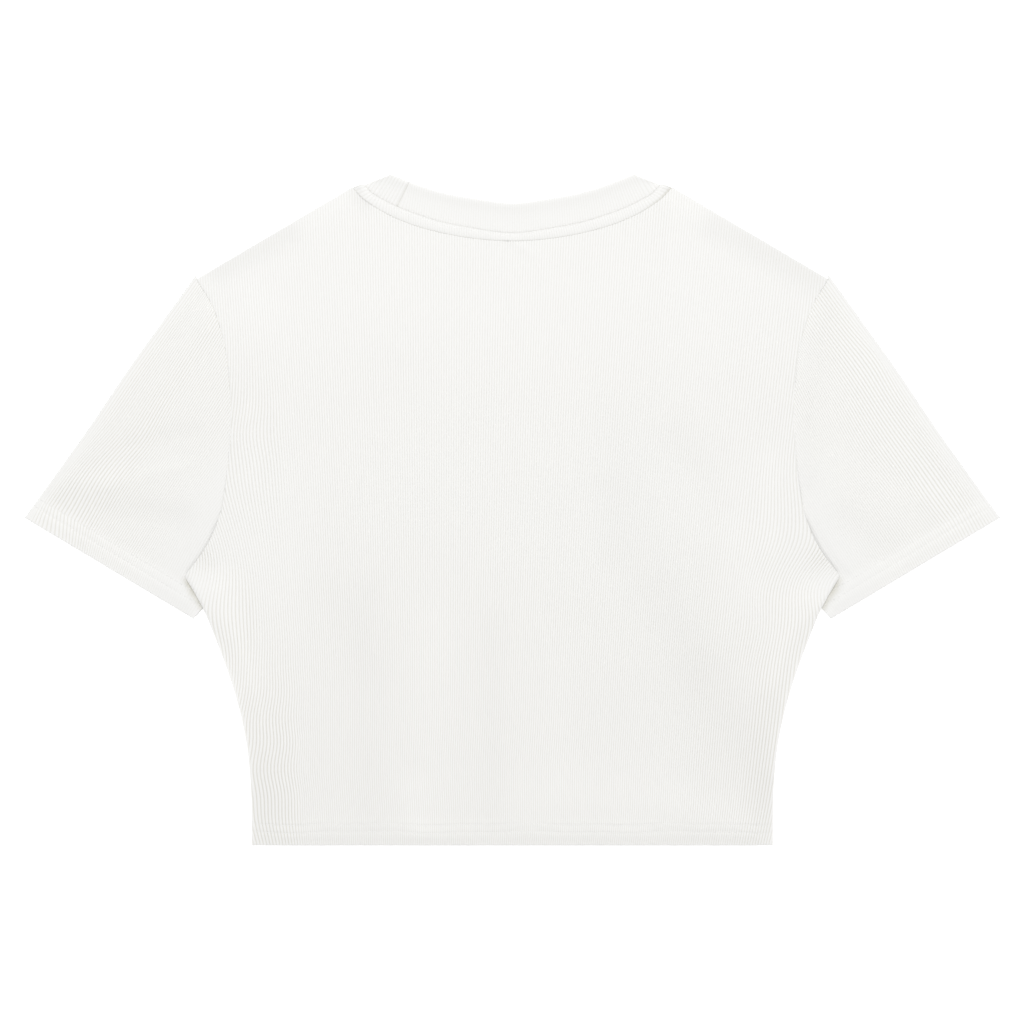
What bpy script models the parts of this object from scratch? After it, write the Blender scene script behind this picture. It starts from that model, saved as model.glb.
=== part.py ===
"""A cropped T-shirt in fine rib knit, lying flat on its back with the front up.

Five pieces, as they are cut and sewn: front, back, two sleeves and a neckband that is turned over
the neck edge. Each is a closed wall of cloth. X runs across the shirt, Y from the hem to the neck
and Z up from the surface that it lies on. Lengths are in millimetres until the meshes are made.
"""

import math
from collections import namedtuple

import bmesh
import bpy
import numpy as np

# The cloth.
WALL = 1.0  # one layer of rib knit, from the back to the valleys between its ribs
RIB_HEIGHT = 0.3  # how far a rib stands above the valleys beside it
RIBS_ACROSS_HALF = 60  # raised ribs on half of the front: one for every two of the 240 real ones
RIBS_ACROSS_SLEEVE = 36
WALES_ACROSS_HALF = 120  # the real ribs on half of the front, which set how the raised ones spread
MIDDLE_PITCH_HEM = 1.48  # from one real rib to the next at the middle, near the hem
MIDDLE_PITCH_CHEST = 1.74  # and across the chest
PITCH_START_Y = -110.0  # where the first begins to pass into the second
PITCH_FADE = 260.0
SEAM_GAP = 0.3  # between two pieces at a seam
CLOTH_COLOUR = (0.86, 0.855, 0.83, 1.0)
CLOTH_ROUGHNESS = 0.9

# Heights above the surface.
SURFACE_TOP = 5.2  # the upper layer, where no fold raises or lowers it
NECK_TOP = 5.4  # the upper layer beside the neckband
ARMPIT_TOP = 5.7  # the front where it lies over the sleeve's lower corner
TUCKED_TOP = 3.9  # the sleeve where it lies under the front
TUCKED_LIFT = 1.35  # the sleeve's lower layer where it lies on the back
TUCK_START_Y = 46.0  # the armhole's level where the sleeve begins to slip under the front
TUCK_FULL_Y = 14.0
TUCK_FADE = 7.0
FOLD_Z = 2.7  # the side seams and the folds at the sleeves' edges
ARMPIT_LEVEL = -35.0  # the middle of the part of the front that the sleeve's corner lifts
ARMPIT_REACH = 70.0  # how far above and below that level the lift reaches
ARMPIT_FADE_Y = 60.0
ARMPIT_START_X = 165.0
ARMPIT_FADE_X = 35.0
NECK_CALM = 25.0  # no fold comes nearer to the neck seam than this
NECK_FADE = 30.0

# The body, measured from the middle of the shirt.
HEM_Y = -224.8
HEM_DEPTH = 15.0  # the turned allowance inside the hem
ALLOWANCE_STEP = 0.4  # the length of the step where a turned allowance ends
SIDE_ROLL = 4.0  # how far in from the edge the upper layer curves down to it
SHOULDER_ROLL = 7.0
SHOULDER_POINT = (211.5, 154.4)
NECK_SIDE = (107.2, 215.9)
TIP_Y = -42.3  # the corner where the side meets the armhole
CLOSED_Y = -96.0  # below this the side is closed round its fold
PARTED_Y = -69.0  # above this its two layers lie apart, with the sleeve between them

# The sleeve.
CUFF_OUTER = (326.0, -4.7)
CUFF_INNER = (212.7, -72.4)
SLEEVE_TOP_END = (212.4, 153.6)
SLEEVE_HIDDEN_END = (185.0, -41.0)  # its underarm corner, inside the body
CUFF_DEPTH = 17.0
SLEEVE_ROLL = 4.0

# The neckband: a strip turned over the neck edge.
BAND_OUTSIDE = 6.5  # the width that shows on the front
BAND_INSIDE = 26.0  # the width that lies inside, seen across the back of the neck
BAND_RIBBED = 18.0  # as much of it as shows
BAND_CORNER = (99.9, 218.3)  # where its edge passes from the back to the front
BAND_PEAK = (81.3, 224.8)
CORNER_OUT = (0.6, 0.8)  # the direction out of the neck at that corner
CORNER_INSET = 2.2  # how far the turn at the corner is drawn in, so that its curve ends at the corner
CORNER_SHARE = 0.9  # the front part of the neckband begins to be drawn in from here
BAND_LEAN = 37.0  # degrees that the inside width leans at the corner
TURN_STEPS = 6
STATIONS_BACK = 58
STATIONS_PEAK = 12
STATIONS_FRONT = 70

Edge = namedtuple("Edge", "y x")
Neck = namedtuple("Neck", "x y")
Fold = namedtuple("Fold", "x0 y0 x1 y1 width height")
Layer = namedtuple("Layer", "reach height")

# The outermost rib: up the side to the armpit, then on across the sleeve, where it is cut away.
WALE_EDGE = (
    Edge(y=HEM_Y, x=174.5),
    Edge(y=-190.0, x=174.9),
    Edge(y=-155.0, x=178.2),
    Edge(y=-122.0, x=186.0),
    Edge(y=-90.0, x=197.2),
    Edge(y=-64.0, x=207.8),
    Edge(y=-42.3, x=218.8),
    Edge(y=-12.0, x=225.0),
    Edge(y=60.0, x=224.0),
    Edge(y=160.0, x=230.0),
)
ARMHOLE = (
    Edge(y=-42.3, x=218.8),
    Edge(y=-26.8, x=206.0),
    Edge(y=-7.5, x=197.0),
    Edge(y=18.0, x=191.8),
    Edge(y=55.0, x=189.0),
    Edge(y=96.0, x=190.4),
    Edge(y=120.0, x=195.0),
    Edge(y=137.0, x=201.2),
    Edge(y=154.4, x=211.5),
)
SLEEVE_END = (
    Edge(y=-41.0, x=185.0),
    Edge(y=-22.0, x=187.6),
    Edge(y=0.0, x=191.6),
    Edge(y=14.0, x=192.9),
    Edge(y=55.0, x=189.4),
    Edge(y=96.0, x=190.8),
    Edge(y=120.0, x=195.4),
    Edge(y=137.0, x=201.6),
    Edge(y=154.4, x=212.1),
)
FRONT_SEAM = (
    Neck(x=0.0, y=179.6),
    Neck(x=26.8, y=181.4),
    Neck(x=48.9, y=185.4),
    Neck(x=73.7, y=193.0),
    Neck(x=91.8, y=202.3),
    Neck(x=100.5, y=208.7),
    Neck(x=107.2, y=215.9),
)
FRONT_CREST = (
    Neck(x=0.0, y=185.3),
    Neck(x=27.5, y=188.7),
    Neck(x=51.0, y=193.6),
    Neck(x=66.3, y=198.6),
    Neck(x=84.4, y=206.4),
    Neck(x=95.1, y=213.1),
    Neck(x=99.9, y=218.3),
)
BACK_CREST = (
    Neck(x=0.0, y=205.4),
    Neck(x=22.8, y=208.1),
    Neck(x=44.2, y=211.9),
    Neck(x=65.0, y=218.2),
    Neck(x=81.3, y=224.8),
)

# The largest folds of the upper layer: soft ridges (height above 0) and troughs (below 0).
FOLDS = (
    Fold(x0=-101.0, y0=-55.0, x1=-99.0, y1=-195.0, width=15.0, height=-0.8),
    Fold(x0=-58.0, y0=-70.0, x1=-56.0, y1=-200.0, width=14.0, height=0.3),
    Fold(x0=-21.0, y0=-85.0, x1=-19.0, y1=-195.0, width=12.0, height=-0.8),
    Fold(x0=30.0, y0=-110.0, x1=31.0, y1=-190.0, width=14.0, height=0.3),
    Fold(x0=92.0, y0=0.0, x1=160.0, y1=-175.0, width=20.0, height=-0.9),
    Fold(x0=205.0, y0=138.0, x1=197.0, y1=70.0, width=9.0, height=-0.9),
    Fold(x0=-262.0, y0=12.0, x1=-226.0, y1=20.0, width=10.0, height=-0.7),
    Fold(x0=-205.0, y0=35.0, x1=-228.0, y1=60.0, width=9.0, height=-0.6),
    Fold(x0=258.0, y0=10.0, x1=296.0, y1=6.0, width=9.0, height=0.3),
)


def curve_through(rows):
    """A smooth function of the rows' first column: cubic pieces whose slopes match where they meet."""
    at, value = (np.array(column, float) for column in zip(*rows))
    slope = np.gradient(value, at)

    def read(where):
        piece = np.clip(np.searchsorted(at, where) - 1, 0, len(at) - 2)
        span = at[piece + 1] - at[piece]
        t = np.clip((where - at[piece]) / span, 0.0, 1.0)
        start = (1 + 2 * t) * (1 - t) ** 2 * value[piece] + t * (1 - t) ** 2 * span * slope[piece]
        end = t * t * (3 - 2 * t) * value[piece + 1] - t * t * (1 - t) * span * slope[piece + 1]
        return start + end

    return read


wale_edge = curve_through(WALE_EDGE)
armhole = curve_through(ARMHOLE)
sleeve_end = curve_through(SLEEVE_END)
front_seam = curve_through(FRONT_SEAM)
front_crest = curve_through(FRONT_CREST)
back_crest = curve_through(BACK_CREST)


def blend(t):
    """0 up to t = 0, 1 from t = 1, and a smooth step between."""
    t = np.clip(t, 0.0, 1.0)
    return t * t * (3 - 2 * t)


def unit(vector):
    vector = np.asarray(vector, float)
    return vector / np.linalg.norm(vector)


# ---------------------------------------------------------------- heights of the two layers


def folds(x, y):
    """The folds' height at a place: a rounded section along each, faded at both ends."""
    total = 0.0
    for fold in FOLDS:
        along = np.array([fold.x1 - fold.x0, fold.y1 - fold.y0])
        length = np.hypot(*along)
        t = ((x - fold.x0) * along[0] + (y - fold.y0) * along[1]) / length**2
        off = np.abs((x - fold.x0) * along[1] - (y - fold.y0) * along[0]) / length
        beyond = length * np.maximum(0.0, np.abs(t - 0.5) - 0.5)
        total += fold.height * math.exp(-((off**2 + beyond**2) / fold.width**2))
    return total


def surface(x, y):
    """The valleys' height on the upper layer, the same for the front and the sleeves."""
    neck_distance = front_seam(min(abs(x), NECK_SIDE[0])) - y
    near_neck = 1 - blend((neck_distance - NECK_CALM) / NECK_FADE)
    return SURFACE_TOP + (NECK_TOP - SURFACE_TOP) * near_neck + folds(x, y) * (1 - near_neck)


def tucked(x, y):
    """1 where the sleeve lies inside the body, fading out just beyond the armhole's lower part."""
    low = blend((TUCK_START_Y - y) / (TUCK_START_Y - TUCK_FULL_Y))
    edge = armhole(y) if y > TIP_Y else wale_edge(y)
    return low * (1 - blend((abs(x) - edge - 3.0) / TUCK_FADE))


def front_height(x, y):
    """The front rises a little where the sleeve's corner is tucked under it."""
    across = blend((abs(x) - ARMPIT_START_X) / ARMPIT_FADE_X)
    rise = across * blend((ARMPIT_REACH - abs(y - ARMPIT_LEVEL)) / ARMPIT_FADE_Y)
    return surface(x, y) + (ARMPIT_TOP - surface(x, y)) * rise


def sleeve_height(x, y):
    return surface(x, y) + (TUCKED_TOP - RIB_HEIGHT - surface(x, y)) * tucked(x, y)


def rolled(height, distance, radius):
    """The upper layer's height near a folded edge: a quarter of an ellipse down to FOLD_Z."""
    t = np.clip(1 - distance / radius, 0.0, 1.0)
    return FOLD_Z + (height - FOLD_Z) * math.sqrt(max(0.0, 1 - t * t))


# ---------------------------------------------------------------- ribs and outline of the body


def spread(y):
    """How evenly the ribs lie across half of the body: 1 is even, less packs them at the middle."""
    chest = blend((y - PITCH_START_Y) / PITCH_FADE)
    middle_pitch = MIDDLE_PITCH_HEM + (MIDDLE_PITCH_CHEST - MIDDLE_PITCH_HEM) * chest
    return middle_pitch * WALES_ACROSS_HALF / wale_edge(y)


def wale_x(u, y):
    """X of the rib that lies at u of the half width, at the height y. u is 1 at the side."""
    even = spread(y)
    return wale_edge(y) * (even * u + (1 - even) * u**3)


def signed_x(u, y):
    """wale_x for both halves: a negative u lies left of the middle."""
    return math.copysign(wale_x(abs(u), y), u)


def u_at(x, y):
    """The rib that passes through a place: the inverse of wale_x."""
    table = np.linspace(0.0, 1.0, 401)
    return float(np.interp(x, wale_x(table, y), table))


ARMHOLE_YS = np.linspace(TIP_Y, SHOULDER_POINT[1], 241)
ARMHOLE_US = np.array([u_at(armhole(y), y) for y in ARMHOLE_YS])
DEEPEST = int(ARMHOLE_US.argmin())
U_DEEP = float(ARMHOLE_US[DEEPEST])
DEEP_Y = float(ARMHOLE_YS[DEEPEST])
U_SHOULDER = float(ARMHOLE_US[-1])


def lower_armhole_y(u):
    return float(np.interp(-u, -ARMHOLE_US[: DEEPEST + 1], ARMHOLE_YS[: DEEPEST + 1]))


def upper_armhole_y(u):
    return float(np.interp(u, ARMHOLE_US[DEEPEST:], ARMHOLE_YS[DEEPEST:]))


SHOULDER_SLOPE = (NECK_SIDE[1] - SHOULDER_POINT[1]) / (SHOULDER_POINT[0] - NECK_SIDE[0])


def shoulder_y(x):
    return SHOULDER_POINT[1] + (SHOULDER_POINT[0] - abs(x)) * SHOULDER_SLOPE


def top_y(seam, x):
    """The panel's top edge: along the shoulder, and a seam's gap below the neckband between them."""
    x = abs(x)
    if x >= NECK_SIDE[0]:
        return shoulder_y(x)
    slope = float(seam(x + 0.5) - seam(x - 0.5))
    return float(seam(x)) - SEAM_GAP * math.hypot(1.0, slope)


def front_top_y(x):
    return top_y(front_seam, x)


def back_seam(x):
    across, up = zip(*BACK_SEAM)
    return np.interp(x, across, up)


def back_top_y(x):
    return top_y(back_seam, x)


def shoulder_distance(x, y):
    return (shoulder_y(x) - y) / math.hypot(1.0, SHOULDER_SLOPE)


# ---------------------------------------------------------------- the neckband's path


def band_lean(t):
    """The inside width's direction at t of the way from the middle of the neck to its corner."""
    angle = math.radians(BAND_LEAN) * t**1.3
    return np.array([math.sin(angle), -math.cos(angle)])


Station = namedtuple("Station", "crest seam lean turn ribs_out ribs_in")


def band_stations():
    """Half of the neckband, from the back's middle round the corner to the front's middle."""
    outward = unit(CORNER_OUT)
    corner = np.array(BAND_CORNER) - CORNER_INSET * outward
    corner_seam = np.array(NECK_SIDE) - CORNER_INSET * outward
    peak = np.array(BAND_PEAK)
    stations = []
    for step in range(STATIONS_BACK):
        t = step / STATIONS_BACK
        x = BAND_PEAK[0] * t
        crest = np.array([x, float(back_crest(x))])
        lean = band_lean(0.8 * t)
        stations.append(Station(crest, crest + BAND_OUTSIDE * lean, lean, -90.0, 0.0, 1.0))
    for step in range(STATIONS_PEAK):
        t = step / STATIONS_PEAK
        crest = peak + (corner - peak) * t
        lean = band_lean(0.8 + 0.2 * t)
        start = crest + BAND_OUTSIDE * lean
        seam = start + (corner_seam - (corner + BAND_OUTSIDE * lean)) * t**2
        stations.append(Station(crest, seam, lean, -90.0, 0.0, 1.0))
    for step in range(TURN_STEPS + 1):
        angle = -90.0 + 180.0 * step / TURN_STEPS
        stations.append(Station(corner, corner_seam, band_lean(1.0), angle, 0.0, 0.0))
    for step in range(1, STATIONS_FRONT + 1):
        t = 1.0 - step / STATIONS_FRONT
        near_corner = max(0.0, (t - CORNER_SHARE) / (1.0 - CORNER_SHARE))
        crest = np.array([BAND_CORNER[0] * t, float(front_crest(BAND_CORNER[0] * t))])
        seam = np.array([NECK_SIDE[0] * t, float(front_seam(NECK_SIDE[0] * t))])
        crest = crest - CORNER_INSET * near_corner * outward
        seam = seam - CORNER_INSET * near_corner * outward
        stations.append(Station(crest, seam, band_lean(t), 90.0, 1.0 - near_corner, 0.0))
    return stations


BAND = band_stations()
BACK_SEAM = [station.seam for station in BAND[: STATIONS_BACK + STATIONS_PEAK + 1]] + [NECK_SIDE]

# The neckband's section: reach is the distance from its edge, height the distance from the plane
# between the front and back of the shirt. The skin runs along the outside, over the edge and in,
# and the lining is the strip's other face.
BAND_TOP = NECK_TOP - FOLD_Z
BAND_UNDER = BAND_TOP - WALL
BAND_LAYER_GAP = 0.35  # between the strip's outside width and its inside width
INNER_TOP = BAND_UNDER - BAND_LAYER_GAP
INNER_UNDER = INNER_TOP - WALL
BAND_SKIN = (
    Layer(reach=BAND_OUTSIDE, height=BAND_TOP),
    Layer(reach=1.1, height=BAND_TOP),
    Layer(reach=0.0, height=2.0),
    Layer(reach=0.0, height=1.05),
    Layer(reach=1.1, height=INNER_UNDER),
    Layer(reach=BAND_RIBBED, height=INNER_UNDER),
    Layer(reach=BAND_INSIDE, height=INNER_UNDER),
)
BAND_LINING = (
    Layer(reach=BAND_OUTSIDE, height=BAND_UNDER),
    Layer(reach=1.6, height=BAND_UNDER),
    Layer(reach=1.3, height=0.5 * (BAND_UNDER + INNER_TOP)),
    Layer(reach=1.6, height=INNER_TOP),
    Layer(reach=BAND_INSIDE, height=INNER_TOP),
)


def band_point(station, layer):
    """A point of the neckband's section, turned about its fold at the side of the neck."""
    turn = math.radians(station.turn)
    outside = blend((layer.height - INNER_TOP) / BAND_LAYER_GAP)
    along_outside = (station.seam - station.crest) * layer.reach / BAND_OUTSIDE
    along_inside = station.lean * layer.reach
    flat = station.crest + outside * along_outside + (1 - outside) * along_inside
    flat = flat + unit(CORNER_OUT) * layer.height * math.cos(turn)
    return [flat[0], flat[1], FOLD_Z + layer.height * math.sin(turn)]


# ---------------------------------------------------------------- building walls of cloth


class Cloth:
    """The points and faces of one piece, in millimetres."""

    def __init__(self):
        self.points = []
        self.faces = []

    def add(self, rows):
        """Adds a grid of points and returns their numbers in the same rows."""
        numbers = []
        for row in rows:
            first = len(self.points)
            self.points.extend(row)
            numbers.append(list(range(first, first + len(row))))
        return numbers

    def skin(self, numbers):
        """Four-sided faces between neighbouring rows and columns."""
        for lower, upper in zip(numbers, numbers[1:]):
            for a, b, c, d in zip(lower, lower[1:], upper[1:], upper):
                self.faces.append((a, b, c, d))

    def join(self, first, second):
        """Triangles between two lines of points that run side by side, however many each has."""
        places = [self.fractions(line) for line in (first, second)]
        i = j = 0
        while i < len(first) - 1 or j < len(second) - 1:
            step_first = j == len(second) - 1 or (
                i < len(first) - 1 and places[0][i + 1] <= places[1][j + 1]
            )
            if step_first:
                self.faces.append((first[i], first[i + 1], second[j]))
                i += 1
            else:
                self.faces.append((first[i], second[j + 1], second[j]))
                j += 1

    def fractions(self, line):
        """How far along a line each of its points lies, from 0 to 1."""
        points = np.array([self.points[n] for n in line])[:, :2]
        steps = np.hypot(*np.diff(points, axis=0).T)
        along = np.concatenate([[0.0], np.cumsum(steps)])
        return along / max(along[-1], 1e-9)

    def make(self, name):
        """Makes the piece a Blender object with its own material."""
        shape = bmesh.new()
        corners = [shape.verts.new(np.array(p) / 1000.0) for p in self.points]
        for face in self.faces:
            ring = list(dict.fromkeys(face))
            if len(ring) > 2:
                shape.faces.new([corners[n] for n in ring])
        loose = [corner for corner in shape.verts if not corner.link_faces]
        bmesh.ops.delete(shape, geom=loose, context="VERTS")
        bmesh.ops.recalc_face_normals(shape, faces=shape.faces)
        mesh = bpy.data.meshes.new(name)
        shape.to_mesh(mesh)
        shape.free()
        mesh.materials.append(cloth_material(name))
        bpy.context.scene.collection.objects.link(bpy.data.objects.new(name, mesh))


def cloth_material(name):
    material = bpy.data.materials.new(f"{name}_rib_knit")
    material.use_nodes = True
    shader = material.node_tree.nodes["Principled BSDF"]
    shader.inputs["Base Color"].default_value = CLOTH_COLOUR
    shader.inputs["Roughness"].default_value = CLOTH_ROUGHNESS
    shader.inputs["Metallic"].default_value = 0.0
    return material


# ---------------------------------------------------------------- front and back


ARMHOLE_MARKS = (-10.0, 5.0, 18.0, 32.0, 45.0, 78.0, 92.0, 105.0, 117.0, 130.0)
LEAST_STEP = 0.0012  # no two columns of points are nearer than this share of the half width
RIB_COLUMNS = tuple(np.linspace(0.0, 1.0, 2 * RIBS_ACROSS_HALF + 1))


def body_columns():
    """The ribs' and valleys' places across half of the body, with the outline's own corners."""
    exact = [u_at(*NECK_SIDE), U_DEEP, U_SHOULDER, u_at(*BACK_SEAM[-2])]
    exact += [float(np.interp(y, ARMHOLE_YS, ARMHOLE_US)) for y in ARMHOLE_MARKS]
    exact += [1.0 - 0.1 * SIDE_ROLL / wale_edge(HEM_Y)]
    columns = list(RIB_COLUMNS)
    for u in exact:
        close = [other for other in columns if abs(other - u) < LEAST_STEP and 0 < other < 1]
        columns = [other for other in columns if other not in close or other in exact]
        if u in exact[:4] or not any(other in exact for other in close):
            columns.append(u)
    return np.array(sorted(columns))


COLUMNS = body_columns()
LOWER_ROWS = (HEM_Y, -175.0, -140.0, -108.0, -70.0, -20.0)
LEVEL_Y = -118.0  # the rows below this are level, and those above it bend to meet the armhole
UPPER_SHARES = (0.0, 0.5)
ROLL_ROWS = (6.5, 1.8, 0.0)  # distances below the top edge
NECK_CLOSE = 0.14  # the columns are kept close from this far inside the side of the neck
NECK_BEYOND = 0.02  # to this far outside it, as shares of the half width


def top_of(u, top_y):
    """Where a rib reaches the top edge."""
    y = 180.0
    for _ in range(40):
        y = 0.5 * (y + top_y(float(wale_x(u, y))))
    return y


def lower_ys(u):
    """The heights of a rib's points up to the level of the armhole's deepest place."""
    top = lower_armhole_y(u) if u > U_DEEP else DEEP_Y
    stretch = (top - LEVEL_Y) / (DEEP_Y - LEVEL_Y)
    rows = LOWER_ROWS + (DEEP_Y,)
    return [y if y <= LEVEL_Y else LEVEL_Y + (y - LEVEL_Y) * stretch for y in rows]


def upper_ys(u, top_y):
    """The heights of a rib's points from there to the top edge."""
    start = upper_armhole_y(u) if u > U_DEEP else DEEP_Y
    top = top_of(u, top_y)
    roll_start = top - min(ROLL_ROWS[0] * 1.2, 0.5 * (top - start))
    body = [start + (roll_start - start) * share for share in UPPER_SHARES]
    scale = (top - roll_start) / ROLL_ROWS[0]
    return body + [top - drop * scale for drop in ROLL_ROWS]


def signed_columns(limit=1.0, keep=None):
    half = [u for u in COLUMNS if u <= limit + 1e-9]
    picked = half if keep is None else [u for i, u in enumerate(half) if keep(i, u)]
    return [-u for u in reversed(picked) if u > 0] + picked


def rib(u):
    """The rib's height at u, as a share of RIB_HEIGHT: straight slopes between valleys and crests."""
    return 1 - abs(2 * ((abs(u) * RIBS_ACROSS_HALF) % 1.0) - 1)


def closed_share(y):
    """1 where the side is closed round its fold, 0 where its two layers part for the sleeve."""
    return 1 - blend((y - CLOSED_Y) / (PARTED_Y - CLOSED_Y))


def edge_roll(x, y):
    """The nearest folded edge: its distance, its radius, the direction to it and how closed it is."""
    side = np.sign(x) if x else 1.0
    if y > DEEP_Y:
        return shoulder_distance(x, y), SHOULDER_ROLL, unit([side * SHOULDER_SLOPE, 1.0]), 1.0
    if y > TIP_Y:
        return SIDE_ROLL, SIDE_ROLL, np.array([side, 0.0]), 0.0
    return float(wale_edge(y)) - abs(x), SIDE_ROLL, np.array([side, 0.0]), closed_share(y)


def upper_point(x, y, raised):
    """A point on the outside of the front."""
    distance, radius, _, closed = edge_roll(x, y)
    height = front_height(x, y)
    low = rolled(height, distance, radius) if distance < radius else height
    z = height + (low - height) * closed
    flat_share = blend(distance / radius) if closed else 1.0
    z = max(z, FOLD_Z + 0.5 * SEAM_GAP)
    return [x, y, z + RIB_HEIGHT * flat_share * raised]


def upper_inner_point(x, y, layers):
    """A point on the inside of the front, under one layer or under two at the hem."""
    distance, radius, outward, closed = edge_roll(x, y)
    near = np.clip(1 - distance / radius, 0.0, 1.0) * closed
    height = front_height(x, y) - layers * WALL
    depth = np.clip(distance / radius, 0.0, 1.0)
    low = FOLD_Z + (height - FOLD_Z) * math.sqrt(max(0.0, 1 - (1 - depth) ** 2))
    z = height + (low - height) * closed if distance < radius else height
    z = max(z, FOLD_Z + 0.5 * SEAM_GAP) if closed > 0.5 else z
    moved = np.array([x, y]) - outward * WALL * near
    return [moved[0], moved[1], z]


def lower_point(x, y, layers):
    """A point of the back: layers is 0 on its underside and the number of layers above that inside."""
    distance, radius, outward, closed = edge_roll(x, y)
    near = np.clip(1 - distance / radius, 0.0, 1.0) * closed
    bottom = layers * WALL
    rise = 1 - math.sqrt(max(0.0, 1 - near**2))
    z = bottom + (FOLD_Z - 0.5 * SEAM_GAP - bottom) * rise
    inset = WALL * near if layers else 0.0
    moved = np.array([x, y]) - outward * inset
    return [moved[0], moved[1], z]


def body_grids(cloth, columns, point, top_y, hem_layers=1):
    """Adds the grid below the armhole's deepest level and the one above it, joined at that level.

    point(u, x, y, layers) gives each point. With 2 hem_layers the grid steps up where the hem's
    turned allowance begins.
    """
    lower = []
    for u in columns:
        rows = [(y, 1) for y in lower_ys(abs(u))]
        if hem_layers > 1:
            allowance_end = HEM_Y + HEM_DEPTH
            hem = [(HEM_Y, 2), (allowance_end, 2), (allowance_end + ALLOWANCE_STEP, 1)]
            rows = hem + rows[1:]
        lower.append([point(u, signed_x(u, y), y, layers) for y, layers in rows])
    low = cloth.add([list(row) for row in zip(*lower)])
    inner = [u for u in columns if abs(u) <= U_SHOULDER + 1e-9]
    upper = []
    for u in inner:
        upper.append([point(u, signed_x(u, y), y, 1) for y in upper_ys(abs(u), top_y)])
    high = cloth.add([list(row) for row in zip(*upper)])
    for place, u in enumerate(inner):
        if abs(u) <= U_DEEP + 1e-9:
            high[0][place] = low[-1][columns.index(u)]
    for row in high:
        row[0], row[-1] = high[0][0], high[0][-1]
    cloth.skin(low)
    cloth.skin(high)
    return low, high


def body_edges(columns, low, high):
    """The outline of a panel as named lines of points, each from left to right or bottom to top."""
    deep_left = columns.index(-U_DEEP)
    deep_right = columns.index(U_DEEP)
    inner = [u for u in columns if abs(u) <= U_SHOULDER + 1e-9]
    high_left = inner.index(-U_DEEP)
    high_right = inner.index(U_DEEP)
    return {
        "hem": low[0],
        "left side": [row[0] for row in low],
        "right side": [row[-1] for row in low],
        "left lower armhole": low[-1][: deep_left + 1],
        "right lower armhole": low[-1][deep_right:][::-1],
        "left upper armhole": high[0][: high_left + 1][::-1],
        "right upper armhole": high[0][high_right:],
        "top": high[-1],
    }


def close_edges(cloth, outer, inner):
    for name in outer:
        cloth.join(outer[name], inner[name])


def coarse_columns():
    """Columns for the plain side of a panel: every sixth, and all of those that the outline needs."""
    neck_side = u_at(*NECK_SIDE)
    outline = {U_DEEP, U_SHOULDER, neck_side, u_at(*BACK_SEAM[-2])}
    outline.update(COLUMNS[-4:])
    outline.update(u for u in COLUMNS if u > U_DEEP and u not in RIB_COLUMNS)
    outline.update(u for u in COLUMNS[::2] if u > U_DEEP)
    outline.update(u for u in COLUMNS[::2] if neck_side - NECK_CLOSE < u < neck_side + NECK_BEYOND)
    return signed_columns(keep=lambda i, u: i % 6 == 0 or u in outline)


def make_front():
    cloth = Cloth()
    columns = signed_columns()

    def outside(u, x, y, _):
        return upper_point(x, y, rib(u))

    def inside(_, x, y, layers):
        return upper_inner_point(x, y, layers)

    outer = body_edges(columns, *body_grids(cloth, columns, outside, front_top_y))
    few = coarse_columns()
    inner = body_edges(few, *body_grids(cloth, few, inside, front_top_y, hem_layers=2))
    close_edges(cloth, outer, inner)
    cloth.make("front")


def make_back():
    cloth = Cloth()
    few = coarse_columns()

    def underside(_, x, y, __):
        return lower_point(x, y, 0)

    def inside(_, x, y, layers):
        return lower_point(x, y, layers)

    outer = body_edges(few, *body_grids(cloth, few, underside, back_top_y))
    inner = body_edges(few, *body_grids(cloth, few, inside, back_top_y, hem_layers=2))
    close_edges(cloth, outer, inner)
    cloth.make("back")


# ---------------------------------------------------------------- sleeves

SLEEVE_SHARES = (0.0, 0.2, 0.42, 0.64, 0.84, 1.0)  # of the way from the cuff's hem to the armhole
CUFF_WIDTH = math.dist(CUFF_OUTER, CUFF_INNER)
LONGEST_RIB = 230.0


def sleeve_line(q):
    """The start, direction and length of the rib that lies at q of the cuff's width."""
    outer, inner = np.array(CUFF_OUTER), np.array(CUFF_INNER)
    start = outer + (inner - outer) * q
    first = unit(np.array(SLEEVE_TOP_END) - outer)
    last = unit(np.array(SLEEVE_HIDDEN_END) - inner)
    direction = unit(first * (1 - q) + last * q)
    near, far = 0.0, LONGEST_RIB
    for _ in range(40):
        middle = 0.5 * (near + far)
        place = start + direction * middle
        if place[0] > sleeve_end(place[1]):
            near = middle
        else:
            far = middle
    return start, direction, near


def sleeve_rows(q, inside):
    """Places along a rib from the cuff up, each with the number of layers of cloth there."""
    start, direction, length = sleeve_line(q)
    rows = [(0.0, 2), (0.4 * CUFF_DEPTH, 2)]
    rows += [(CUFF_DEPTH + (length - CUFF_DEPTH) * share, 1) for share in SLEEVE_SHARES]
    if inside:
        rows[2:3] = [(CUFF_DEPTH, 2), (CUFF_DEPTH + ALLOWANCE_STEP, 1)]
    return [(start + direction * reach, layers) for reach, layers in rows]


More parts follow.
